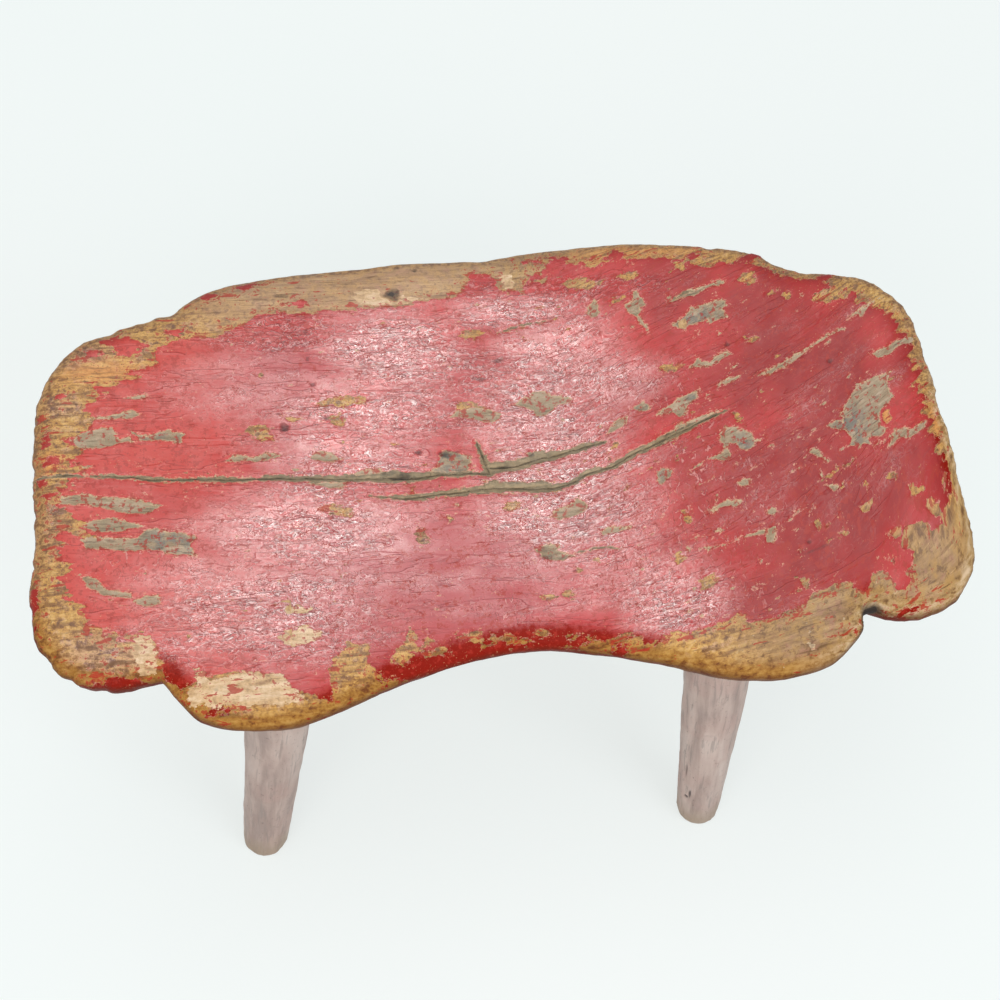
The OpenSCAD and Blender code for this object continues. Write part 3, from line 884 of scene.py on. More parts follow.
def wear_map(x, y, inset):
    """Every depth of the wear map at places of the plan, as a dictionary."""
    along, across = grain_place(x, y)
    coarse = smooth_noise(along / 9, across / 3, 10, 3)
    fine = smooth_noise(along / 3.4, across / 1.5, 11, 2)
    warp_x = x + 1.1 * smooth_noise(along / 5, across / 3, 13, 3)
    warp_y = y + 0.8 * smooth_noise(along / 5, across / 3, 14, 3)
    ends = soft_step(np.abs(x), 112, 160)
    tongues = ends * 5 * smooth_noise(along / 34, across / 2.4, 12, 2)
    mixed = np.clip(spot_depth(x, y, MIXED, coarse) / 4, 0, 1)
    ochre = 0.9 * (coarse + fine) + tongues - edge_depth(warp_x, warp_y, WEAR_LINE)
    ochre = ochre * (1 - 0.7 * mixed) + 2.4 * mixed * fine
    ochre = np.maximum(ochre, patch_depth(warp_x, warp_y, OCHRE_PATCHES) + 0.5 * fine)
    ochre = np.maximum(ochre, spot_depth(warp_x, warp_y, OCHRE_DOTS, coarse + fine))
    red = spot_depth(warp_x, warp_y, RED_LEFT, coarse + fine)
    grey = patch_depth(warp_x, warp_y, GREY_PATCHES) + 0.4 * fine
    cream = patch_depth(warp_x, warp_y, CREAM_PATCHES) + 0.5 * (coarse + fine)
    dark = patch_depth(warp_x, warp_y, DARK_PATCHES) + 0.3 * fine
    dark = np.maximum(dark, spot_depth(warp_x, warp_y, DARK_DOTS, 0.8 * fine))
    crack, middle = crack_places(x, y)
    scatter = smooth_noise(along / 3.8, across / 1.9, 15, 2)
    small = (scatter - CHIP_THRESHOLD + 0.2 * chip_density(x, y, crack)) * 3.2
    kind = smooth_noise(along / 25, across / 14, 16, 1)
    grey = np.maximum(grey, np.where(kind > GREY_CHIPS, small, NO_CHIP))
    ochre = np.maximum(ochre, np.where(kind <= GREY_CHIPS, small, NO_CHIP))
    return {
        "along": along,
        "across": across,
        "ochre": np.minimum(ochre, -red),
        "grey": grey,
        "cream": cream,
        "dark": dark,
        "crack": crack,
        "middle": middle,
        "inset": inset,
    }


def nearest_border(found):
    """How close each place lies to the border of any mark."""
    borders = [np.abs(found[name]) for name in ("ochre", "grey", "cream", "dark")]
    return np.min(borders, 0)


probe = wear_map(np.array([0.0, -37.0]), np.array([40.0, 81.0]), np.array([60.0, 18.0]))
print("depth in the knot", round(float(probe["dark"][1]), 1), "mm")

# %% [markdown]
# ## A mesh that is fine where the wear is
# Paint edges and cracks need points half a millimetre apart, plain paint does not. So the plan is
# strewn with points from three honeycombs, coarse in the open field, finer along every border of
# the wear map and finest in the cracks, with rings of points down the rounded edge. A constrained
# triangulation joins them inside the outline. A subdivided grid would need ten times the faces.

# %% Strew the points of the plan
OPEN_PITCH = 1.8
BORDER_PITCH = 0.8
CRACK_PITCH = 0.5
BORDER_REACH = 1.3
CRACK_REACH = 2.4
EDGE_RINGS = 13
SPINE_HALF = 100


def honeycomb(pitch):
    """A honeycomb of places over the whole plan."""
    low, high = edge.min(0), edge.max(0)
    rows = np.arange(low[1], high[1], pitch * math.sqrt(0.75))
    columns = np.arange(low[0], high[0], pitch)
    x, y = np.meshgrid(columns, rows)
    x = x + (np.arange(len(rows)) % 2)[:, None] * pitch / 2
    return x.ravel(), y.ravel()


def drawn_in(points, distance):
    """Points of the edge moved in towards the seat's spine."""
    spine = np.stack([np.clip(points[:, 0], -SPINE_HALF, SPINE_HALF), np.zeros(len(points))], 1)
    gap = spine - points
    return points + gap * distance / np.linalg.norm(gap, axis=1)[:, None]


def inside_edge(x, y):
    """True for places inside the outline."""
    inside = np.zeros(len(x), bool)
    start, end = edge, np.roll(edge, -1, 0)
    for (ax, ay), (bx, by) in zip(start, end):
        if ay != by:
            passes = (ay > y) != (by > y)
            inside ^= passes & (x < ax + (y - ay) * (bx - ax) / (by - ay))
    return inside


def comb_points(pitch, wanted):
    """The honeycomb places of one pitch that a rule on the wear map wants."""
    x, y = honeycomb(pitch)
    within = inside_edge(x, y)
    x, y = x[within], y[within]
    inset, _ = inset_of(x, y)
    chosen = wanted(wear_map(x, y, inset))
    return np.stack([x[chosen], y[chosen]], 1)


def in_open(found):
    """True for places in plain paint or plain wood."""
    near = (nearest_border(found) < BORDER_REACH) | (found["crack"] > -CRACK_REACH)
    return (found["inset"] > EDGE_ROUND + 0.8) & ~near


def at_border(found):
    """True for places beside the border of a mark."""
    near = (nearest_border(found) < BORDER_REACH) & (found["crack"] < -CRACK_REACH / 2)
    return near & (found["inset"] > EDGE_ROUND + 0.3)


def in_crack(found):
    """True for places in a crack or right beside it."""
    return (found["crack"] > -CRACK_REACH / 2) & (found["inset"] > 1)


open_points = comb_points(OPEN_PITCH, in_open)
border_points = comb_points(BORDER_PITCH, at_border)
crack_points = comb_points(CRACK_PITCH, in_crack)
print("points:", len(open_points), "open,", len(border_points), "border,", len(crack_points), "crack")

# %% Triangulate the top


def edge_rings():
    """Rings of points down the rounded edge, even along its curve."""
    rings = []
    for k in range(1, EDGE_RINGS + 1):
        angle = math.radians(90 * (1 - k / EDGE_RINGS))
        ring = drawn_in(edge, EDGE_ROUND * (1 - math.sin(angle)))
        inset, _ = inset_of(*ring.T)
        crack, _ = crack_places(*ring.T)
        rings.append(ring[(inset > 0.04) & (crack < -CRACK_REACH / 2)])
    return np.concatenate(rings)


def triangulate(plan):
    """Joins points of the plan to triangles inside a border, which is the first of them."""
    ring = list(range(len(edge)))
    lines = [(k, (k + 1) % len(edge)) for k in ring]
    spots = [Vector(point) for point in plan]
    corners, _, made, sources, _, _ = delaunay_2d_cdt(spots, lines, [ring], 1, WELD)
    border = np.zeros(len(edge), int)
    for index, origins in enumerate(sources):
        for origin in origins:
            if origin < len(edge):
                border[origin] = index
    return np.array([corner[:] for corner in corners]), made, border


plan = np.concatenate([edge, edge_rings(), open_points, border_points, crack_points])
top_plan, triangles, rim_index = triangulate(plan)
print("the top has", len(top_plan), "points and", len(triangles), "triangles")

# %% [markdown]
# ## Carving the top
# With the points in place, the top is carved in steps, as the real one was: the smooth hollow and
# its rounded edge first, then the tool's slow waves, then what age did. The paint film is lifted
# off where the map says so, grey wood has weathered deeper, cracks are opened into ragged troughs,
# and the ends of the tenons show as faint rings under the paint.

# %% Carve the waves, flakes and cracks
PAINT_FILM = 0.3
WEATHERED = 0.3
CRACK_DEPTH = 1.3
DARK_SINK = 0.9
FIBRE_RELIEF = 0.2
TENON_RADIUS = 9.5
TENON_RELIEF = 0.12
END_SLACK = 0.05


def axis_ends(node):
    """A leg's axis in millimetres: the middle of its foot and the middle of its tenon's end."""
    solid = joined_mesh(node)
    points = np.array([vertex.co[:] for vertex in solid.verts]) / MM
    solid.free()
    foot = points[points[:, 2] < END_SLACK]
    top = points[points[:, 2] > points[:, 2].max() - END_SLACK]
    return (foot.min(0) + foot.max(0)) / 2, (top.min(0) + top.max(0)) / 2


LEG_NAMES = [name for name in sorted(frame["nodes"]) if name.endswith("_leg")]
leg_axes = {name: axis_ends(name) for name in LEG_NAMES}


def tenon_marks(x, y):
    """The relief of the tenons' ends under the paint, in millimetres."""
    relief = np.zeros(len(x))
    for name, (_, top) in leg_axes.items():
        strength = 1.0 if name.startswith("front") else 0.5
        gap = np.hypot(x - top[0], y - top[1])
        ring = np.exp(-(((gap - TENON_RADIUS) / 0.7) ** 2))
        dome = TENON_RELIEF * soft_step(TENON_RADIUS - gap, 0, 4)
        wedge = np.exp(-(((x - top[0]) / 1.3) ** 2)) * soft_step(TENON_RADIUS - gap, 0, 1)
        relief += strength * (dome - TENON_RELIEF * ring + 0.1 * wedge)
    return relief


def carved(found, x, y):
    """How far the surface stands out from the smooth top, in millimetres."""
    along, across = found["along"], found["across"]
    rim = 1 - soft_step(found["inset"], 4, 26)
    relief = (0.24 + 0.5 * rim) * smooth_noise(along / 30, across / 13, 20, 2)
    relief += 0.14 * smooth_noise(along / 9, across / 4.5, 21, 2)
    bare = np.maximum(np.maximum(found["ochre"], found["cream"]), found["grey"])
    relief -= PAINT_FILM * soft_step(bare, -0.25, 0.35)
    relief -= WEATHERED * soft_step(found["grey"], -0.1, 1.2)
    fibres = smooth_noise(along / 14, across / 1.5, 22, 2)
    relief += FIBRE_RELIEF * fibres * soft_step(bare, 0, 1)
    relief -= CRACK_DEPTH * soft_step(found["crack"], 0.2, 2.4)
    relief -= 0.3 * soft_step(found["crack"], -1.5, 0.2)
    relief -= DARK_SINK * soft_step(found["dark"], -0.2, 2) * (found["inset"] > 2)
    return relief + tenon_marks(x, y)


top_inset, _ = inset_of(*top_plan.T)
top_inset[rim_index] = 0
top_map = wear_map(*top_plan.T, top_inset)
top_height = hollow_height(*top_plan.T) - round_over(top_inset)
top_relief = carved(top_map, *top_plan.T)
print("the carving goes from", round(top_relief.min(), 1), "to", round(top_relief.max(), 1), "mm")

# %% [markdown]
# ## The edge below and the underside
# Under the widest line a narrow band leans in, then a broad bevel runs to the flat underside,
# hewn with an adze and left rougher than the top. Rings of the same edge points carry it down,
# and a coarse honeycomb closes it.

# %% Build the lower side
BAND_LEAN = 0.2
BAND_SHARES = (0.35, 0.7, 1.0)
BEVEL_WAY = 1.25
BEVEL_RINGS = 9
UNDER_PITCH = 3.2


def lower_rings():
    """Rings from the widest line down to the underside: plan, height and length of the way."""
    start = hollow_height(*edge.T) - EDGE_DROP
    rings = []
    for share in BAND_SHARES:
        way = EDGE_BAND * share
        rings.append((drawn_in(edge, way * BAND_LEAN), start - way, way))
    first = EDGE_BAND * BAND_LEAN
    for k in range(1, BEVEL_RINGS + 1):
        share = k / BEVEL_RINGS
        height = (start - EDGE_BAND) * (1 - share) + underside * share
        inset = first + (UNDER_BEVEL - first) * share
        rings.append((drawn_in(edge, inset), height, EDGE_BAND + inset * BEVEL_WAY))
    return rings


lower = lower_rings()
inner_plan = lower[-1][0]
comb_x, comb_y = honeycomb(UNDER_PITCH)
comb_inset, _ = inset_of(comb_x, comb_y)
kept = inside_edge(comb_x, comb_y) & (comb_inset > UNDER_BEVEL + 1)
floor_plan = np.concatenate([inner_plan, np.stack([comb_x[kept], comb_y[kept]], 1)])
under_plan, floor_triangles, inner_rim = triangulate(floor_plan)
print("the underside has", len(floor_triangles), "triangles")

# %% Join the shells into one mesh
ring_start = len(top_plan)
ring_of = [rim_index] + [ring_start + k * len(edge) + np.arange(len(edge)) for k in range(len(lower))]
floor_start = ring_start + len(lower) * len(edge)
floor_index = np.full(len(under_plan), -1)
floor_index[inner_rim] = ring_of[-1]
floor_new = np.flatnonzero(floor_index < 0)
floor_index[floor_new] = floor_start + np.arange(len(floor_new))

points = [np.column_stack([top_plan, top_height])]
points += [np.column_stack([ring, height]) for ring, height, _ in lower]
points.append(np.column_stack([under_plan[floor_new], np.full(len(floor_new), underside)]))
points = np.concatenate(points)

faces = [tuple(face) for face in triangles]
for upper_ring, lower_ring in zip(ring_of, ring_of[1:]):
    faces += zip(upper_ring, lower_ring, np.roll(lower_ring, -1), np.roll(upper_ring, -1))
faces += [tuple(floor_index[list(face)][::-1]) for face in floor_triangles]
print("the seat has", len(points), "points and", len(faces), "faces")

# %% Give every point its place on the wear map
UNTOUCHED = 3.0
RIM_WEAR, RIM_REACH = 1.6, 8
BARE_FROM = 15

floor_way = EDGE_BAND + UNDER_BEVEL * BEVEL_WAY
way_down = [np.full(len(edge), way) for _, _, way in lower] + [np.full(len(floor_new), floor_way)]
way_down = np.concatenate(way_down)
low_x, low_y = points[ring_start:, :2].T
_, next_to = inset_of(low_x, low_y)
low_map = wear_map(*edge[next_to].T, -way_down)
along, across = grain_place(low_x, low_y)
rough = smooth_noise(along / 6, across / 4, 30, 3)
worn_rim = low_map["ochre"] - RIM_WEAR * way_down + 2 * rough
bare_under = way_down - BARE_FROM + 4 * rough
low_map.update(
    along=along,
    across=across,
    ochre=np.where(way_down < RIM_REACH, worn_rim, bare_under),
    grey=np.full(len(way_down), -UNTOUCHED),
    cream=np.full(len(way_down), -UNTOUCHED),
    dark=low_map["dark"] - 0.4 * way_down,
    crack=low_map["crack"] - 0.5 * way_down,
)
seat_map = {name: np.concatenate([values, low_map[name]]) for name, values in top_map.items()}
low_relief = 0.35 * smooth_noise(along / 12, across / 9, 31, 2) + 0.15 * rough
relief = np.concatenate([top_relief, low_relief])
print("points on the lower side:", len(way_down))

# %% Make the seat


def make_mesh(name, places, polygons):
    """A smooth-shaded mesh from places in millimetres."""
    mesh = bpy.data.meshes.new(name)
    mesh.from_pydata((places * MM).tolist(), [], [[int(index) for index in face] for face in polygons])
    mesh.polygons.foreach_set("use_smooth", np.ones(len(mesh.polygons), bool))
    mesh.update()
    return mesh


def push_out(mesh, distances):
    """Moves each point of a mesh along its normal by a distance in millimetres."""
    normals = np.zeros(len(mesh.vertices) * 3)
    mesh.vertex_normals.foreach_get("vector", normals)
    places = np.zeros(len(mesh.vertices) * 3)
    mesh.vertices.foreach_get("co", places)
    moved = places.reshape(-1, 3) + normals.reshape(-1, 3) * distances[:, None] * MM
    mesh.vertices.foreach_set("co", moved.ravel())
    mesh.update()


def give_vectors(mesh, name, *columns):
    """Stores three values at each point of a mesh for its finish to read."""
    layer = mesh.attributes.new(name, "FLOAT_VECTOR", "POINT")
    layer.data.foreach_set("vector", np.column_stack(columns).astype(np.float32).ravel())


# Where the film is glossy; the same shares also pale the red with a painted sheen and brighten the painted
# highlights.
GLOSSY = [
    (-39, 55, 60, 48), (28, 50, 54, 42), (24, -12, 70, 100), (-72, -26, 90, 60, 0.8), (-58, 8, 70, 50, 0.8),
    (-96, -54, 90, 54, 0.8), (-92, 40, 80, 40, 0.35), (60, -62, 50, 36), (12, 70, 60, 18),
    (-50, 26, 80, 40, 0.9), (15, 24, 70, 50, 0.9), (44, 36, 44, 34), (-20, -40, 110, 60, 0.25),
]
SCALY = [
    (-40, 24, 90, 30), (12, 30, 76, 44), (-36, 56, 60, 44), (-86, 64, 60, 20), (-60, -4, 60, 30),
    (22, -16, 56, 76), (-96, -60, 84, 44), (-72, -30, 50, 30), (58, -64, 46, 26), (-148, -74, 36, 22),
    (14, 68, 60, 20), (34, 4, 30, 40), (30, 80, 90, 14),
]
WORMY = [
    (74, -40, 50, 90), (78, -2, 44, 40), (48, -52, 50, 40), (2, -36, 24, 30), (44, 34, 40, 26),
    (-62, -58, 60, 30), (92, -24, 30, 30), (70, 30, 30, 30), (-4, -60, 30, 20), (-140, -34, 40, 20),
]
BLUE_GREY = [
    (140, 6, 18, 20), (96, 2, 10, 10), (85, 63, 20, 10), (-126, -28, 26, 16), (-132, 18, 20, 6, 0.6),
    (-20, 3, 14, 14), (171, -38, 12, 8), (80, 26, 8, 8), (57, 22, 10, 8, 0.6), (62, -9, 10, 8, 0.6),
    (-40, -3, 16, 6),
]
ORANGE = [
    (-28, 84, 16, 14), (-152, 48, 40, 12, 0.7), (154, 9, 5, 10), (174, 6, 6, 20), (-172, 8, 10, 10),
    (148, -42, 6, 6), (60, 98, 120, 10, 0.6), (-110, 82, 60, 10, 0.5),
]
LILAC = [
    (-48, 88, 50, 12), (-150, -73, 44, 22), (-168, 33, 16, 10), (160, -50, 20, 30, 0.6),
    (-100, 82, 40, 8, 0.5), (-160, 56, 24, 16), (-170, -20, 14, 30, 0.7), (-25, -44, 130, 64, 0.8),
    (-110, -30, 70, 50, 0.5), (-90, 45, 60, 30, 0.6),
]


def zones(x, y, spots):
    """A soft share from 0 to 1 over the places of a list of ovals."""
    share = np.zeros(len(x))
    for px, py, length, width, *strength in spots:
        inside = 1 - soft_step(np.hypot((x - px) / length, (y - py) / width), 0.1, 0.75)
        share = np.maximum(share, inside * (strength[0] if strength else 1))
    return share


def film_maps(x, y):
    """Where the film is glossy, where it is scaly and where it is wrinkled."""
    along, across = grain_place(x, y)
    uneven = 0.5 * smooth_noise(along / 26, across / 7, 25, 4)
    gloss = np.clip(zones(x, y, GLOSSY) * 1.1 + 0.7 * uneven - 0.05, 0, 1)
    scaly = np.clip(zones(x, y, SCALY) * 1.2 + 1.4 * uneven, 0, 1)
    wormy = np.clip(zones(x, y, WORMY) * 1.1 + 1.2 * uneven, 0, 1)
    return gloss, scaly, wormy


x, y = points[:, :2].T
seat_mesh = make_mesh("painted_seat", points, faces)
push_out(seat_mesh, relief)
wood_bare = soft_step(x, 60, 110) * soft_step(-y, 20, 60)
wood_bare += soft_step(y, 60, 80) * soft_step(-np.abs(x + 40), -95, -60)
wood_bare = np.clip(wood_bare + (seat_map["inset"] < -10), 0, 1)
give_vectors(seat_mesh, "grain", seat_map["along"], seat_map["across"], points[:, 2])
give_vectors(seat_mesh, "wear", seat_map["ochre"], seat_map["grey"], seat_map["cream"])
give_vectors(seat_mesh, "marks", seat_map["crack"], seat_map["dark"], seat_map["inset"])
give_vectors(seat_mesh, "tone", wood_bare, seat_map["middle"], x)
give_vectors(seat_mesh, "film", *film_maps(x, y))
give_vectors(seat_mesh, "hue", zones(x, y, BLUE_GREY), zones(x, y, ORANGE), zones(x, y, LILAC))
seat = add_object("painted_seat", seat_mesh)
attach(seat, "root")
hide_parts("seat")
print("the seat mesh has", len(seat_mesh.polygons), "faces")

# %% [markdown]
# ## Whittled legs
# Each leg was split from a straight branch and whittled round with a knife, then painted a thin
# pale mauve that has gone grey with dirt. A lathe would leave a true cone, so the mesh is built in
# rings whose radius takes long knife flats, shallow dents and a worn round foot. The frame gives
# each leg's axis; the rings are level, so the foot stands flat on the floor.

# %% Build a whittled leg
LEG_TOP_RADIUS = 15
LEG_FOOT_RADIUS = 9.6
FOOT_ROUND = 8
FOOT_LEFT = 5.33
FOOT_LEVELS = [0, 0.2, 0.5, 0.9, 1.4, 2.0, 2.8, 3.7, 4.7, 5.8]
LEG_SIDES = 84
LEG_STEP = 1.3
LEG_SINK = 1.2
FLAT_CUT, SLOW_BEND, RIPPLE = -0.75, 0.45, 0.14
ARC_PER_DEGREE = 0.21
GRAIN_SHIFT = 211
LEG_DENTS = {
    "front_left_leg": [(-55, 104, 0.9, 3.0, 0.8), (-145, 56, 0.8, 16, 0.5), (-100, 120, 4, 3, 0.3)],
    "front_right_leg": [(-146, 52, 0.6, 13, 1.0), (-130, 32, 0.9, 7, 1.6), (-140, 27, 1.6, 2.2, 1.6)],
    "back_left_leg": [(40, 70, 0.8, 14, 0.6), (100, 30, 1.2, 3, 0.8)],
    "back_right_leg": [(120, 110, 0.8, 10, 0.6), (60, 45, 1.4, 3, 0.7)],
}


def leg_radius(height, length):
    """The radius of a smooth leg at a height above the floor."""
    straight = LEG_FOOT_RADIUS + (LEG_TOP_RADIUS - LEG_FOOT_RADIUS) * height / length
    rise = np.clip((FOOT_LEFT - height) / FOOT_ROUND, 0, 1)
    return straight - FOOT_ROUND * (1 - np.sqrt(1 - rise**2))


def leg_dents(angle, height, dents):
    """The depth of listed dents: each is an angle, a height, a width, a length and a depth."""
    depth = np.zeros(np.shape(angle))
    for where, level, width, length, deep in dents:
        turn = (angle - where + 180) % 360 - 180
        reach = np.hypot(turn * ARC_PER_DEGREE / width, (height - level) / length)
        depth += deep * np.exp(-(reach**2) * 2)
    return depth


def leg_faces(ring_count):
    """The faces of a leg of level rings, whose two end points come after the rings."""
    numbers = np.arange(ring_count * LEG_SIDES).reshape(ring_count, LEG_SIDES)
    made = []
    for low, high in zip(numbers, numbers[1:]):
        made += zip(low, np.roll(low, -1), np.roll(high, -1), high)
    foot_end, top_end = numbers.size, numbers.size + 1
    for side in range(LEG_SIDES):
        after = (side + 1) % LEG_SIDES
        made.append((foot_end, numbers[0, after], numbers[0, side]))
        made.append((top_end, numbers[-1, side], numbers[-1, after]))
    return made


def make_leg(name, seed):
    """A whittled leg that replaces the frame's smooth one."""
    foot, top = leg_axes[name]
    length = underside + LEG_SINK
    heights = np.concatenate([FOOT_LEVELS, np.arange(7, length, LEG_STEP), [length]])
    angle, height = np.meshgrid(np.arange(LEG_SIDES) * 360 / LEG_SIDES, heights)
    east, north = np.cos(np.radians(angle)), np.sin(np.radians(angle))
    flats = np.abs(smooth_noise(east * 4 + 9, north * 4 + height / 90, seed, 1))
    slow = smooth_noise(east * 2.2 + 20, north * 2.2 + height / 26, seed + 1, 2)
    quick = smooth_noise(east * 7 + 40, north * 7 + height / 7, seed + 2, 2)
    radius = leg_radius(height, length)
    for share, waves in ((FLAT_CUT, flats), (SLOW_BEND, slow), (RIPPLE, quick)):
        radius = radius + share * waves * soft_step(height, 0, 6)
    dents = leg_dents(angle, height, LEG_DENTS[name])
    local = (radius - dents)[..., None] * np.stack([east, north], -1)
    middle = foot[:2] + (top - foot)[:2] * height[..., None] / top[2]
    rings = np.concatenate([middle + local, height[..., None]], -1).reshape(-1, 3)
    places = np.concatenate([rings, [[*foot[:2], 0], [*middle[-1, 0], length]]])
    mesh = make_mesh("whittled_" + name, places, leg_faces(len(heights)))
    local_x, local_y, level, dent = (
        np.append(part, [0, 0]) for part in (local[..., 0], local[..., 1], height, dents)
    )
    give_vectors(mesh, "grain", level + GRAIN_SHIFT * seed, local_x, local_y)
    give_vectors(mesh, "leg_marks", dent, places[:, 2], np.zeros(len(places)))
    leg = add_object("whittled_" + name, mesh)
    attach(leg, "root")
    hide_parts(name)
    return leg


legs = [make_leg(name, 60 + 5 * number) for number, name in enumerate(LEG_NAMES)]
print("each leg has", len(legs[0].data.polygons), "faces")

# %% [markdown]
# ## Shared effects: streaks, crackle and flaked borders
# Three effects turn up on more than one finish. Wood and worn paint both show streaks along the
# fibres. Old oil paint shrinks into flakes that are longer along the grain than across it. And
# wherever a layer has come off, its border is ragged. Each effect is a group of nodes with named
# sockets, built once and placed in each finish with its own values.

# %% Streaks along the grain


def stretched(place, length, width, seed=0):
    """A place in the grain counted in lengths along it and in widths across it."""
    along, across, up_way = place.parts()
    wires = {0: along / length + seed, 1: across / width, 2: up_way / width}
    return place.wiring.node("ShaderNodeCombineXYZ", wires)[0]


def streak_rule(inputs):
    """Streaks drawn out along the grain; Across is their width in millimetres."""
    width = inputs["Across"]
    place = stretched(inputs["Place"], width * inputs["Stretch"], width, inputs["Seed"])
    cloud = place.noise(0.5, detail=4, roughness=0.6, distortion=0.4)
    return {"Streaks": ((cloud - 0.5) * inputs["Contrast"] + 0.5).held()}


def streaks(place, across, stretch, seed, contrast=2.0):
    """Streaks from the shared group."""
    wires = {"Place": place, "Across": across, "Stretch": stretch, "Seed": seed, "Contrast": contrast}
    return place.wiring.group("grain_streaks", wires)["Streaks"]


takes = {"Place": None, "Across": 1.2, "Stretch": 14, "Seed": 0, "Contrast": 1.6}
make_group("grain_streaks", takes, streak_rule)

# %% Crackled flakes


def crackle_rule(inputs):
    """Flakes of old paint: Gap is the distance to a flake's edge, Side is -1 below and 1 above."""
    size = inputs["Size"]
    place = stretched(inputs["Place"], size * inputs["Stretch"], size, inputs["Seed"])

    def shifted(operation, *values, **named):
        wires = {**dict(enumerate(values)), **named}
        return place.wiring.node("ShaderNodeVectorMath", wires, operation=operation)[0]

    def cells(feature):
        wires = {"Vector": bent, "Scale": 1}
        return place.wiring.node("ShaderNodeTexVoronoi", wires, feature=feature)

    bend = place.wiring.node("ShaderNodeTexNoise", {"Vector": place, "Scale": 1.3, "Detail": 3})["Color"]
    bend = shifted("SCALE", shifted("SUBTRACT", bend, (0.5, 0.5, 0.5)), Scale=inputs["Wander"])
    bent = shifted("ADD", place, bend)
    flakes = cells("F1")
    from_middle = bent.parts()[1] - flakes["Position"].parts()[1]
    gap = cells("DISTANCE_TO_EDGE")["Distance"] * size
    return {"Gap": gap, "Side": from_middle * 3, "Curl": flakes["Distance"]}


takes = {"Place": None, "Size": 3, "Stretch": 2.2, "Wander": 0.35, "Seed": 0}
make_group("crackled_flakes", takes, crackle_rule)

# %% Flaked borders
TEAR_SOFT = 0.07


def border_rule(inputs):
    """A layer's ragged border: Open is 1 where the layer is gone, Lip marks its broken edge."""
    size = inputs["Grain Size"]
    place = stretched(inputs["Place"], size * 1.7, size)
    cloud = place.noise(0.5, detail=5, roughness=0.62)
    depth = inputs["Depth"] + (cloud * 3.2 - 1.6) * inputs["Ragged"]
    opened = depth.step(-TEAR_SOFT, TEAR_SOFT)
    outer = (depth + inputs["Lip Width"]).step(-TEAR_SOFT, TEAR_SOFT)
    patchy = place.noise(1.1, detail=2).step(0.42, 0.58)
    return {"Open": opened, "Lip": (outer - opened).held() * patchy, "Depth": depth}


def border(place, depth, ragged, size, lip=0.3):
    """A ragged border from the shared group."""
    wires = {"Place": place, "Depth": depth, "Ragged": ragged, "Grain Size": size, "Lip Width": lip}
    return place.wiring.group("flaked_border", wires)


takes = {"Place": None, "Depth": 0, "Ragged": 0.5, "Grain Size": 0.9, "Lip Width": 0.3}
make_group("flaked_border", takes, border_rule)

# %% [markdown]
# ## The painted seat's finish
# The finish is laid in the order of the real layers. Bare wood comes first, brown along the rim
# and grey-green where weather got in. A thin ochre ground lies over it, then the red oil paint.
# The wear map decides where each layer is missing, streaks tint what is left, and the crackle and creases
# take painted shade in their furrows and painted highlights on their lips; a painted sheen pales the red
# where the film is glossy. The gloss comes only from the paint film, so bare wood is dull.

# %% Mix the bare wood and the ochre ground


def grey_wood(place, mottle, blue):
    """Weathered wood: khaki and pinkish grey, slate where damp stood, with dark fibres."""
    thin = streaks(place, 0.5, 8, 7, 2.2)
    khaki, clay, sand = (146, 122, 92), (172, 148, 120), (194, 170, 144)
    base = streaks(place, 1.5, 4, 1, 1.8).ramp((0.15, khaki), (0.5, clay), (0.85, sand))
    return base.under(
        (mottle.step(0.46, 0.62, 0, 0.5), (150, 136, 108)),
        (blue * mottle.step(0.42, 0.56) * 0.7, (116, 116, 112)),
        (thin.step(0.84, 0.95, 0, 0.5), (190, 104, 92)),
        (thin.step(0.4, 0.16, 0, 0.6), (92, 76, 58)),
    )


def rim_wood(place, mottle, fine, left):
    """Brown handled wood with soft grain and a few orange stains, paler towards the left."""
    thin = streaks(place, 0.5, 12, 5, 2.0)
    dark, middle, light = (134, 100, 68), (172, 134, 94), (200, 164, 116)
    base = streaks(place, 1.6, 7, 3, 1.8).ramp((0.1, dark), (0.5, middle), (0.9, light))
    return base.under(
        (mottle.step(0.46, 0.62, 0, 0.6), (192, 148, 84)),
        (mottle.step(0.46, 0.36, 0, 0.5), (176, 124, 104)),
        (thin.step(0.74, 0.95, 0, 0.5), (222, 184, 132)),
        (fine.step(0.48, 0.36, 0, 0.75), (118, 86, 60)),
        (left, (214, 172, 138)),
        (thin.step(0.4, 0.12, 0, 0.65), (100, 70, 44)),
    )


def ochre_ground(place, mottle, fine, lilac, orange):
    """The ochre undercoat: golden and tan, lilac grey where it is thin, with dark pores."""
    dirt, brown, gold, straw = (126, 88, 62), (178, 128, 74), (208, 158, 86), (224, 184, 122)
    base = fine.ramp((0.36, dirt), (0.44, brown), (0.53, gold), (0.66, straw))
    thin = (mottle.step(0.5, 0.64, 0, 0.6) + lilac * 0.6).held()
    lines = streaks(place, 0.9, 9, 17, 2.6)
    return base.under(
        (thin, fine.step(0.42, 0.58).between((122, 88, 76), (204, 160, 136))),
        (orange, (222, 150, 84)),
        (lines.step(0.5, 0.1, 0, 0.75), (126, 88, 58)),
        (lines.step(0.6, 0.95, 0, 0.5), (232, 186, 116)),
        (place.noise(0.9, detail=3, roughness=0.6).step(0.4, 0.3, 0, 0.7), (96, 62, 42)),
    )


print("three grounds are ready to mix")

# %% Wrinkle and crease the film


def wrinkles(place):
    """Thin winding lips that run mostly across the grain, from the middle height of a noise."""
    along, across, _ = place.parts()
    drawn = place.wiring.node("ShaderNodeCombineXYZ", {0: along * 0.3, 1: across * 0.13, 2: 3})[0]
    offset = abs(drawn.noise(1, detail=1.5, distortion=1) - 0.5)
    return offset.step(0.03, 0.006) * place.noise(0.35, detail=2).step(0.48, 0.56)


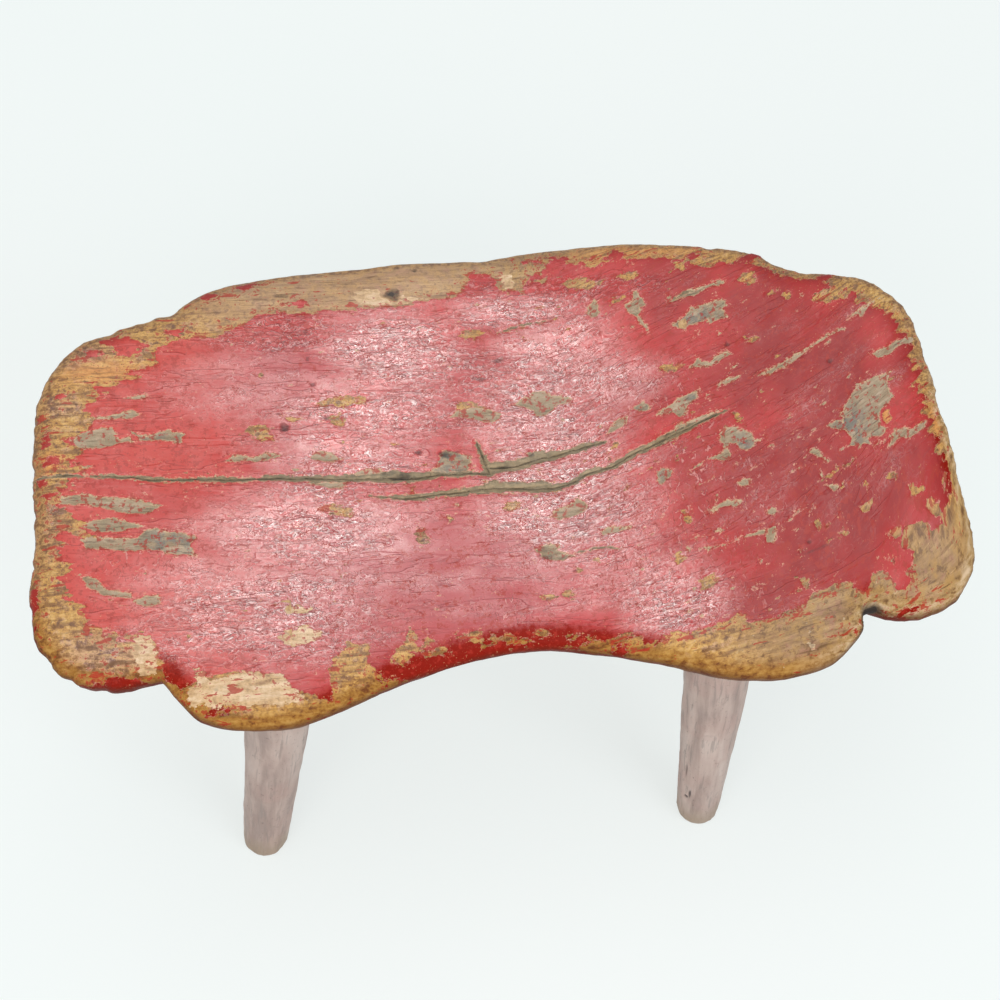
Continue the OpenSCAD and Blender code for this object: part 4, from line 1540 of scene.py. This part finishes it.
def creases(place, size, stretch, seed, wave):
    """Creases of a shrunken film: a furrow for painted shade, a lip right beside it for a painted highlight,
    and the step up.
    """
    drawn = stretched(place, size * stretch, size, seed)
    cloud = drawn.noise(1, detail=2, roughness=0.6, distortion=wave)
    broken = drawn.noise(0.7, detail=2).step(0.44, 0.54)
    furrow = cloud.step(0.46, 0.485) * cloud.step(0.508, 0.496)
    lip = cloud.step(0.502, 0.514) * cloud.step(0.556, 0.526)
    rise = cloud.step(0.49, 0.515) * cloud.step(0.66, 0.54)
    return furrow * broken, lip * broken, rise * broken


print("wrinkles and creases are ready")

# %% Gather the seat's masks


def seat_masks(wiring):
    """The masks that the seat's layers share, read from the mesh or made from noise."""
    m = SimpleNamespace(place=wiring.attribute("grain"))
    m.ochre_depth, grey_depth, cream_depth = wiring.attribute("wear").parts()
    m.crack_depth, m.dark_depth, m.inset = wiring.attribute("marks").parts()
    m.bareness, m.crack_middle, m.x_place = wiring.attribute("tone").parts()
    m.gloss, m.scaly, m.wormy = wiring.attribute("film").parts()
    m.blue, m.orange, m.lilac = wiring.attribute("hue").parts()
    m.front = m.place.parts()[1].step(-35, -65)
    m.broad = m.place.noise(0.035, detail=3)
    m.mottle = m.place.noise(0.2, detail=6, roughness=0.66)
    m.fine = m.place.noise(0.42, detail=5, roughness=0.7)
    m.speckle = m.place.noise(1.3, detail=3, roughness=0.6)
    m.brush = streaks(m.place, 1.0, 16, 21)
    m.fibres = streaks(m.place, 0.7, 10, 31, 1.6)
    wires = {"Place": m.place, "Size": 2.5, "Stretch": 1.6, "Wander": 1.0}
    m.ripples = wiring.group("crackled_flakes", wires)
    wires = {"Place": m.place, "Size": 3.6, "Stretch": 1.3, "Wander": 1.4, "Seed": 9}
    m.plates = wiring.group("crackled_flakes", wires)
    m.ochre = border(m.place, m.ochre_depth, 2.1, 1.2)
    m.grey = border(m.place, grey_depth | grey_depth * 2.2, 1.1, 0.7, 0.5)
    m.cream = border(m.place, cream_depth, 2.0, 1.0)
    m.crack = border(m.place, m.crack_depth, 1.0, 0.8, 0.5)
    m.gone = m.ochre["Open"] | m.grey["Open"] | m.cream["Open"]
    m.worms = wrinkles(m.place) * m.wormy
    m.roll = (m.inset + m.fine * 10 - 5).step(10, 5, 0, m.front * 0.4 + 0.55)
    m.near_line = m.fine.step(0.42, 0.56)
    m.long_creases = creases(m.place, 5, 5, 5, 0.3)
    m.short_creases = creases(m.place, 3.4, 1.8, 12, 1.2)
    m.short_share = m.scaly | (m.gloss * 0.8 + 0.1)
    return m


print("the masks can be gathered")

# %% Lay the bare layers


def bare_layers(m):
    """The wood by itself, and with the ochre ground and the oiled golden brown of the rim."""
    wood = grey_wood(m.place, m.mottle, m.blue)
    chipped = m.grey["Depth"].step(1.3, 0.1) * m.fine.step(0.4, 0.52, 0.2, 0.85)
    brown = rim_wood(m.place, m.mottle, m.fine, m.x_place.step(40, -30, 0, 0.3))
    laid = streaks(m.place, 1.3, 4, 27, 1.3) * 0.5 + m.fine * 0.5
    golden = laid.ramp((0.38, (110, 56, 24)), (0.48, (160, 108, 44)), (0.62, (188, 140, 70)))
    dry_rim = laid.ramp((0.36, (118, 84, 52)), (0.46, (184, 148, 96)), (0.62, (228, 200, 166)))
    golden = golden.under((m.x_place.step(96, 128, 0, 0.9), dry_rim))
    back_edge = m.fine.step(0.4, 0.6).between((124, 82, 48), (196, 148, 92))
    pale = laid.ramp((0.34, (166, 128, 92)), (0.46, (216, 178, 134)), (0.6, (240, 210, 174)))
    ground = ochre_ground(m.place, m.mottle, m.fine, m.lilac, m.orange)
    return wood, ground.under(
        (m.bareness, brown),
        (m.inset.step(6.5, 2.0, 0, 0.85), m.front.between(back_edge, golden)),
        # the cream patches open to a pale cream: partly pale primer, partly a painted glare of the light on
        # the worn ochre
        (m.cream["Open"] * 0.85, pale),
        (m.grey["Open"], wood.under((chipped, (216, 182, 142)))),
        (m.inset.step(-9, -16), wood.under((0.5, (120, 92, 66)))),
    )


print("the bare layers can be laid")

# %% Lay the red film


def film_lines(m):
    """The shares of painted shade in the furrows and of painted highlights on the lips that creases and
    crackle draw in the film.
    """
    ripple_edge = m.ripples["Gap"].step(0.42, 0.05) * m.scaly
    plate_line = m.plates["Gap"].step(0.22, 0.03) * m.scaly * m.near_line
    long_furrow, long_lip, _ = m.long_creases
    short_furrow, short_lip, _ = m.short_creases
    long_share = m.scaly * 0.8 | m.x_place.step(90, 20, 0.2, 0.45)
    # dark is painted shade in the furrows, pale is painted highlight on the lips
    dark = plate_line * 0.65 | long_furrow * long_share * 0.7
    dark = dark | ripple_edge * m.ripples["Side"].step(-0.1, -0.9) * 0.4
    dark = dark | short_furrow * m.short_share * 0.8
    pale = long_lip * long_share * 0.3 | ripple_edge * m.ripples["Side"].step(0.1, 0.9) * 0.5
    pale = pale | short_lip * m.short_share * 0.85
    return dark, (pale * (m.gloss * 0.9 + 0.4)).held()


def red_film(m):
    """The red paint: deeper to the right and at the rim, and paled with a painted sheen where the film is
    glossy.
    """
    base = m.broad.ramp((0.3, (176, 46, 48)), (0.5, (190, 54, 54)), (0.7, (204, 66, 64)))
    deep_red = m.broad.step(0.35, 0.65).between((144, 26, 24), (184, 38, 36))
    painted_crease_shade, painted_glint_line = film_lines(m)
    near = m.ochre["Depth"] | m.grey["Depth"] | m.crack["Depth"]
    sand = (m.speckle + near.step(-4, 0, -0.06, 0.08)).step(0.68, 0.73, 0, 0.75)
    return base.under(
        (m.x_place.step(-20, 130, 0, 0.8), deep_red),
        (m.brush.step(0.6, 0.95, 0, 0.18), (208, 92, 90)),
        (m.brush.step(0.4, 0.05, 0, 0.3), (134, 38, 40)),
        (m.mottle.step(0.56, 0.72, 0, 0.3), (140, 56, 56)),
        (m.x_place.step(-60, -100) * m.mottle.step(0.4, 0.6, 0, 0.35), (196, 104, 96)),
        # the lilac zones turn the red mauve: partly a tone of the paint, partly a painted sheen
        (m.lilac * 0.6, (176, 100, 104)),
        (m.ochre_depth.step(-14, -1, 0, 0.7) * m.x_place.step(-80, -125), (202, 62, 48)),
        # painted sheen: the red paled towards pink where the film is glossy
        (m.gloss * m.fine.step(0.4, 0.6, 0.05, 0.7), (228, 166, 162)),
        # painted highlights on the lips of creases and crackle, painted shade in their furrows
        (painted_glint_line, (254, 226, 220)),
        (painted_crease_shade, (112, 36, 34)),
        # painted glints on the lips of the worm-like wrinkles
        (m.worms * 0.5, (240, 176, 168)),
        (m.roll, m.front.between((140, 26, 18), (138, 22, 4))),
        (sand, (216, 152, 112)),
        ((m.ochre["Lip"] | m.grey["Lip"]) * 0.6, (228, 170, 142)),
    )


print("the red film can be laid")

# %% Break the paint and finish the seat
BARE_ROUGHNESS = 0.62
PAINT_IOR = 1.5


def broken_paint(m):
    """All the layers in one colour, with the shares of dark threads and of the dark marks: stains, the knot,
    and painted shade in the hole at the front right notch.
    """
    wood, ground = bare_layers(m)
    crumbs = m.fine + m.ochre_depth.step(0, 9, 0.06, m.lilac * 0.09 - 0.1)
    islands = streaks(m.place, 1.5, 3, 44, 2.0)
    islands = islands + m.ochre_depth.step(0, 14, 0.1, m.lilac * 0.2 - 0.16)
    islands = islands.step(0.78, 0.84, 0, 0.85) * m.ochre["Open"]
    olive = (m.fibres * 0.4 + m.fine * 0.6).ramp(
        (0.36, (92, 84, 62)), (0.47, (140, 122, 92)), (0.62, (176, 152, 116))
    )
    banks = abs(m.crack["Depth"] - 0.4).step(0.3, 0.1)
    thread = m.crack_middle.step(0.45, 0.1) * m.crack_depth.step(0.1, 0.6)
    thread = thread * m.fine.step(0.38, 0.56, 0.25, 1)
    stain_and_hole_shade = (m.dark_depth + m.mottle * 1.6 - 0.8).step(-0.2, 0.5)
    stain_and_hole_shade = stain_and_hole_shade * m.dark_depth.step(0.2, 1.8, 0.45, 0.95) * m.fine.step(0.34, 0.52, 1, 0.85)
    stain_and_hole_shade = stain_and_hole_shade | m.dark_depth.step(1.0, 1.8, 0, 0.96)
    shade = red_film(m).under(
        (m.gone, ground),
        (crumbs.step(0.6, 0.64, 0, 0.8), (168, 46, 34)),
        (islands, m.fine.between((146, 36, 24), (198, 64, 44))),
        (m.inset.step(1.4, -0.6, 0, 0.75), (84, 36, 20)),
        (m.crack["Lip"] * 0.6, (206, 164, 130)),
        (m.crack["Open"], olive.under((0.25, wood))),
        (banks * 0.35, (84, 66, 46)),
        (thread * 0.75, (66, 52, 38)),
        # dark stains and the knot, with painted shade in the notch's hole
        (stain_and_hole_shade, (50, 44, 42)),
    )
    return shade, thread, stain_and_hole_shade


def seat_relief(m, paint, thread):
    """Relief in millimetres: curled scales, worm-like wrinkles, fibres and brush marks."""
    ripple_rise = m.ripples["Curl"] * 0.025 + m.ripples["Gap"].step(0, 0.3, 0, 0.02)
    plate_rise = m.plates["Gap"].step(0, 0.3, 0, 0.06) * m.near_line
    crease_rise = m.long_creases[2] * 0.14 + m.short_creases[2] * m.short_share * 0.16
    grit = m.place.noise(0.5, detail=4) * ((m.scaly | m.wormy) * 0.09 + 0.03)
    film = (ripple_rise + plate_rise) * m.scaly + crease_rise
    film = film + m.worms * 0.16 + m.brush * 0.014 + grit + 0.12
    bare = m.fibres * 0.3 * (1 - paint * 0.85) + m.fine * 0.5 * m.gone
    return film * paint + bare + m.speckle * 0.02 - thread * 0.4


def seat_finish():
    """Red paint over ochre over wood, opened where the wear map says so."""
    material, wiring = new_material("old_red_paint")
    m = seat_masks(wiring)
    shade, thread, stain_and_hole_shade = broken_paint(m)
    paint = (1 - (m.gone | m.crack["Open"])).held()
    bare_wood = (m.crack["Open"] | stain_and_hole_shade | m.grey["Open"]).held()
    smear = m.place.noise(0.12, detail=4, roughness=0.6)
    rough = smear.step(0.3, 0.7, 0.44, 0.54) - m.gloss * 0.27
    rough = rough + (BARE_ROUGHNESS - rough) * bare_wood
    shine = (m.gloss * 0.25 + 0.3 - m.roll * m.front * 0.25).held()
    more = {"Specular IOR Level": shine, "IOR": PAINT_IOR}
    wiring.surface(shade, rough, seat_relief(m, paint, thread), **more)
    return material


seat_mesh.materials.append(seat_finish())
print("the seat's finish has", len(seat_mesh.materials[0].node_tree.nodes), "nodes")

# %% [markdown]
# ## The legs' finish
# A thin pale paint lies straight on the wood. Handling has polished it, dirt fills the knife marks
# and pits, and the feet are rubbed back to tan wood. The dents of the mesh hold the darkest dirt.

# %% Worn mauve paint


def leg_finish():
    """Pale mauve paint with dirt in its grain, and tan wood at the foot."""
    material, wiring = new_material("pale_leg_paint")
    place = wiring.attribute("grain")
    dent, height, _ = wiring.attribute("leg_marks").parts()
    thin = streaks(place, 0.8, 14, 4)
    cloud = place.noise(0.05, detail=3)
    pit = place.noise(0.55, detail=3, roughness=0.7).step(0.63, 0.72)
    drawn = wiring.node("ShaderNodeMapping", {"Vector": place, "Scale": (0.5, 0.1, 0.1)})[0]
    scratch = drawn.noise(1, detail=4, roughness=0.7).step(0.64, 0.7)
    foot = height + place.noise(0.12, detail=3) * 22 - 11
    dirty, mauve, rubbed = (160, 136, 126), (184, 159, 148), (198, 176, 165)
    base = streaks(place, 4, 7, 0).ramp((0.2, dirty), (0.5, mauve), (0.8, rubbed))
    paint = base.under(
        (cloud.step(0.45, 0.7, 0, 0.5), (184, 152, 142)),
        (thin.step(0.4, 0.2, 0, 0.55), (140, 124, 116)),
        (pit * 0.6, (104, 90, 84)),
        (scratch * 0.35, (132, 114, 108)),
        (foot.step(26, 2, 0, 0.8), (160, 138, 116)),
        (dent.step(0.35, 1.1, 0, 0.9), (52, 42, 44)),
        # painted shade: the top of the leg darker just under the seat
        (height.step(152, 161, 0, 0.45), (140, 120, 112)),
    )
    relief = thin * 0.16 - pit * 0.22 - scratch * 0.12 + place.noise(0.8, detail=3) * 0.12
    wiring.surface(paint, cloud.step(0.3, 0.7, 0.5, 0.66), relief)
    return material


leg_paint = leg_finish()
for leg in legs:
    leg.data.materials.append(leg_paint)
print("the legs' finish has", len(leg_paint.node_tree.nodes), "nodes")

# %% [markdown]
# ## The wedges' finish
# The wedges sit in the tenons under the paint, so the frame's own solids are kept. They are split
# from a harder wood and only need its warm straight grain, read from the object's own coordinates.

# %% Oiled wedge wood


def wedge_finish():
    """Warm hardwood with straight upright grain."""
    material, wiring = new_material("oiled_wedge_wood")
    x_way, y_way, z_way = wiring.node("ShaderNodeTexCoord", {})["Object"].parts()
    place = wiring.node("ShaderNodeCombineXYZ", {0: z_way / MM, 1: x_way / MM, 2: y_way / MM})[0]
    grain = streaks(place, 0.8, 10, 0, 1.6)
    shade = grain.ramp((0.2, (138, 96, 52)), (0.5, (186, 142, 88)), (0.8, (210, 172, 120)))
    wiring.surface(shade, grain.step(0, 1, 0.5, 0.7), grain * 0.1)
    return material


wedge_wood = wedge_finish()
for name in sorted(frame["nodes"]):
    if name.endswith("_wedge"):
        for slot in frame["nodes"][name].material_slots:
            slot.material = wedge_wood
print("wedges finished")

# %% [markdown]
# ## Closing the scene
# The picture is shown with plain colours.

# %% Show plain colours
bpy.context.scene.view_settings.view_transform = "Standard"
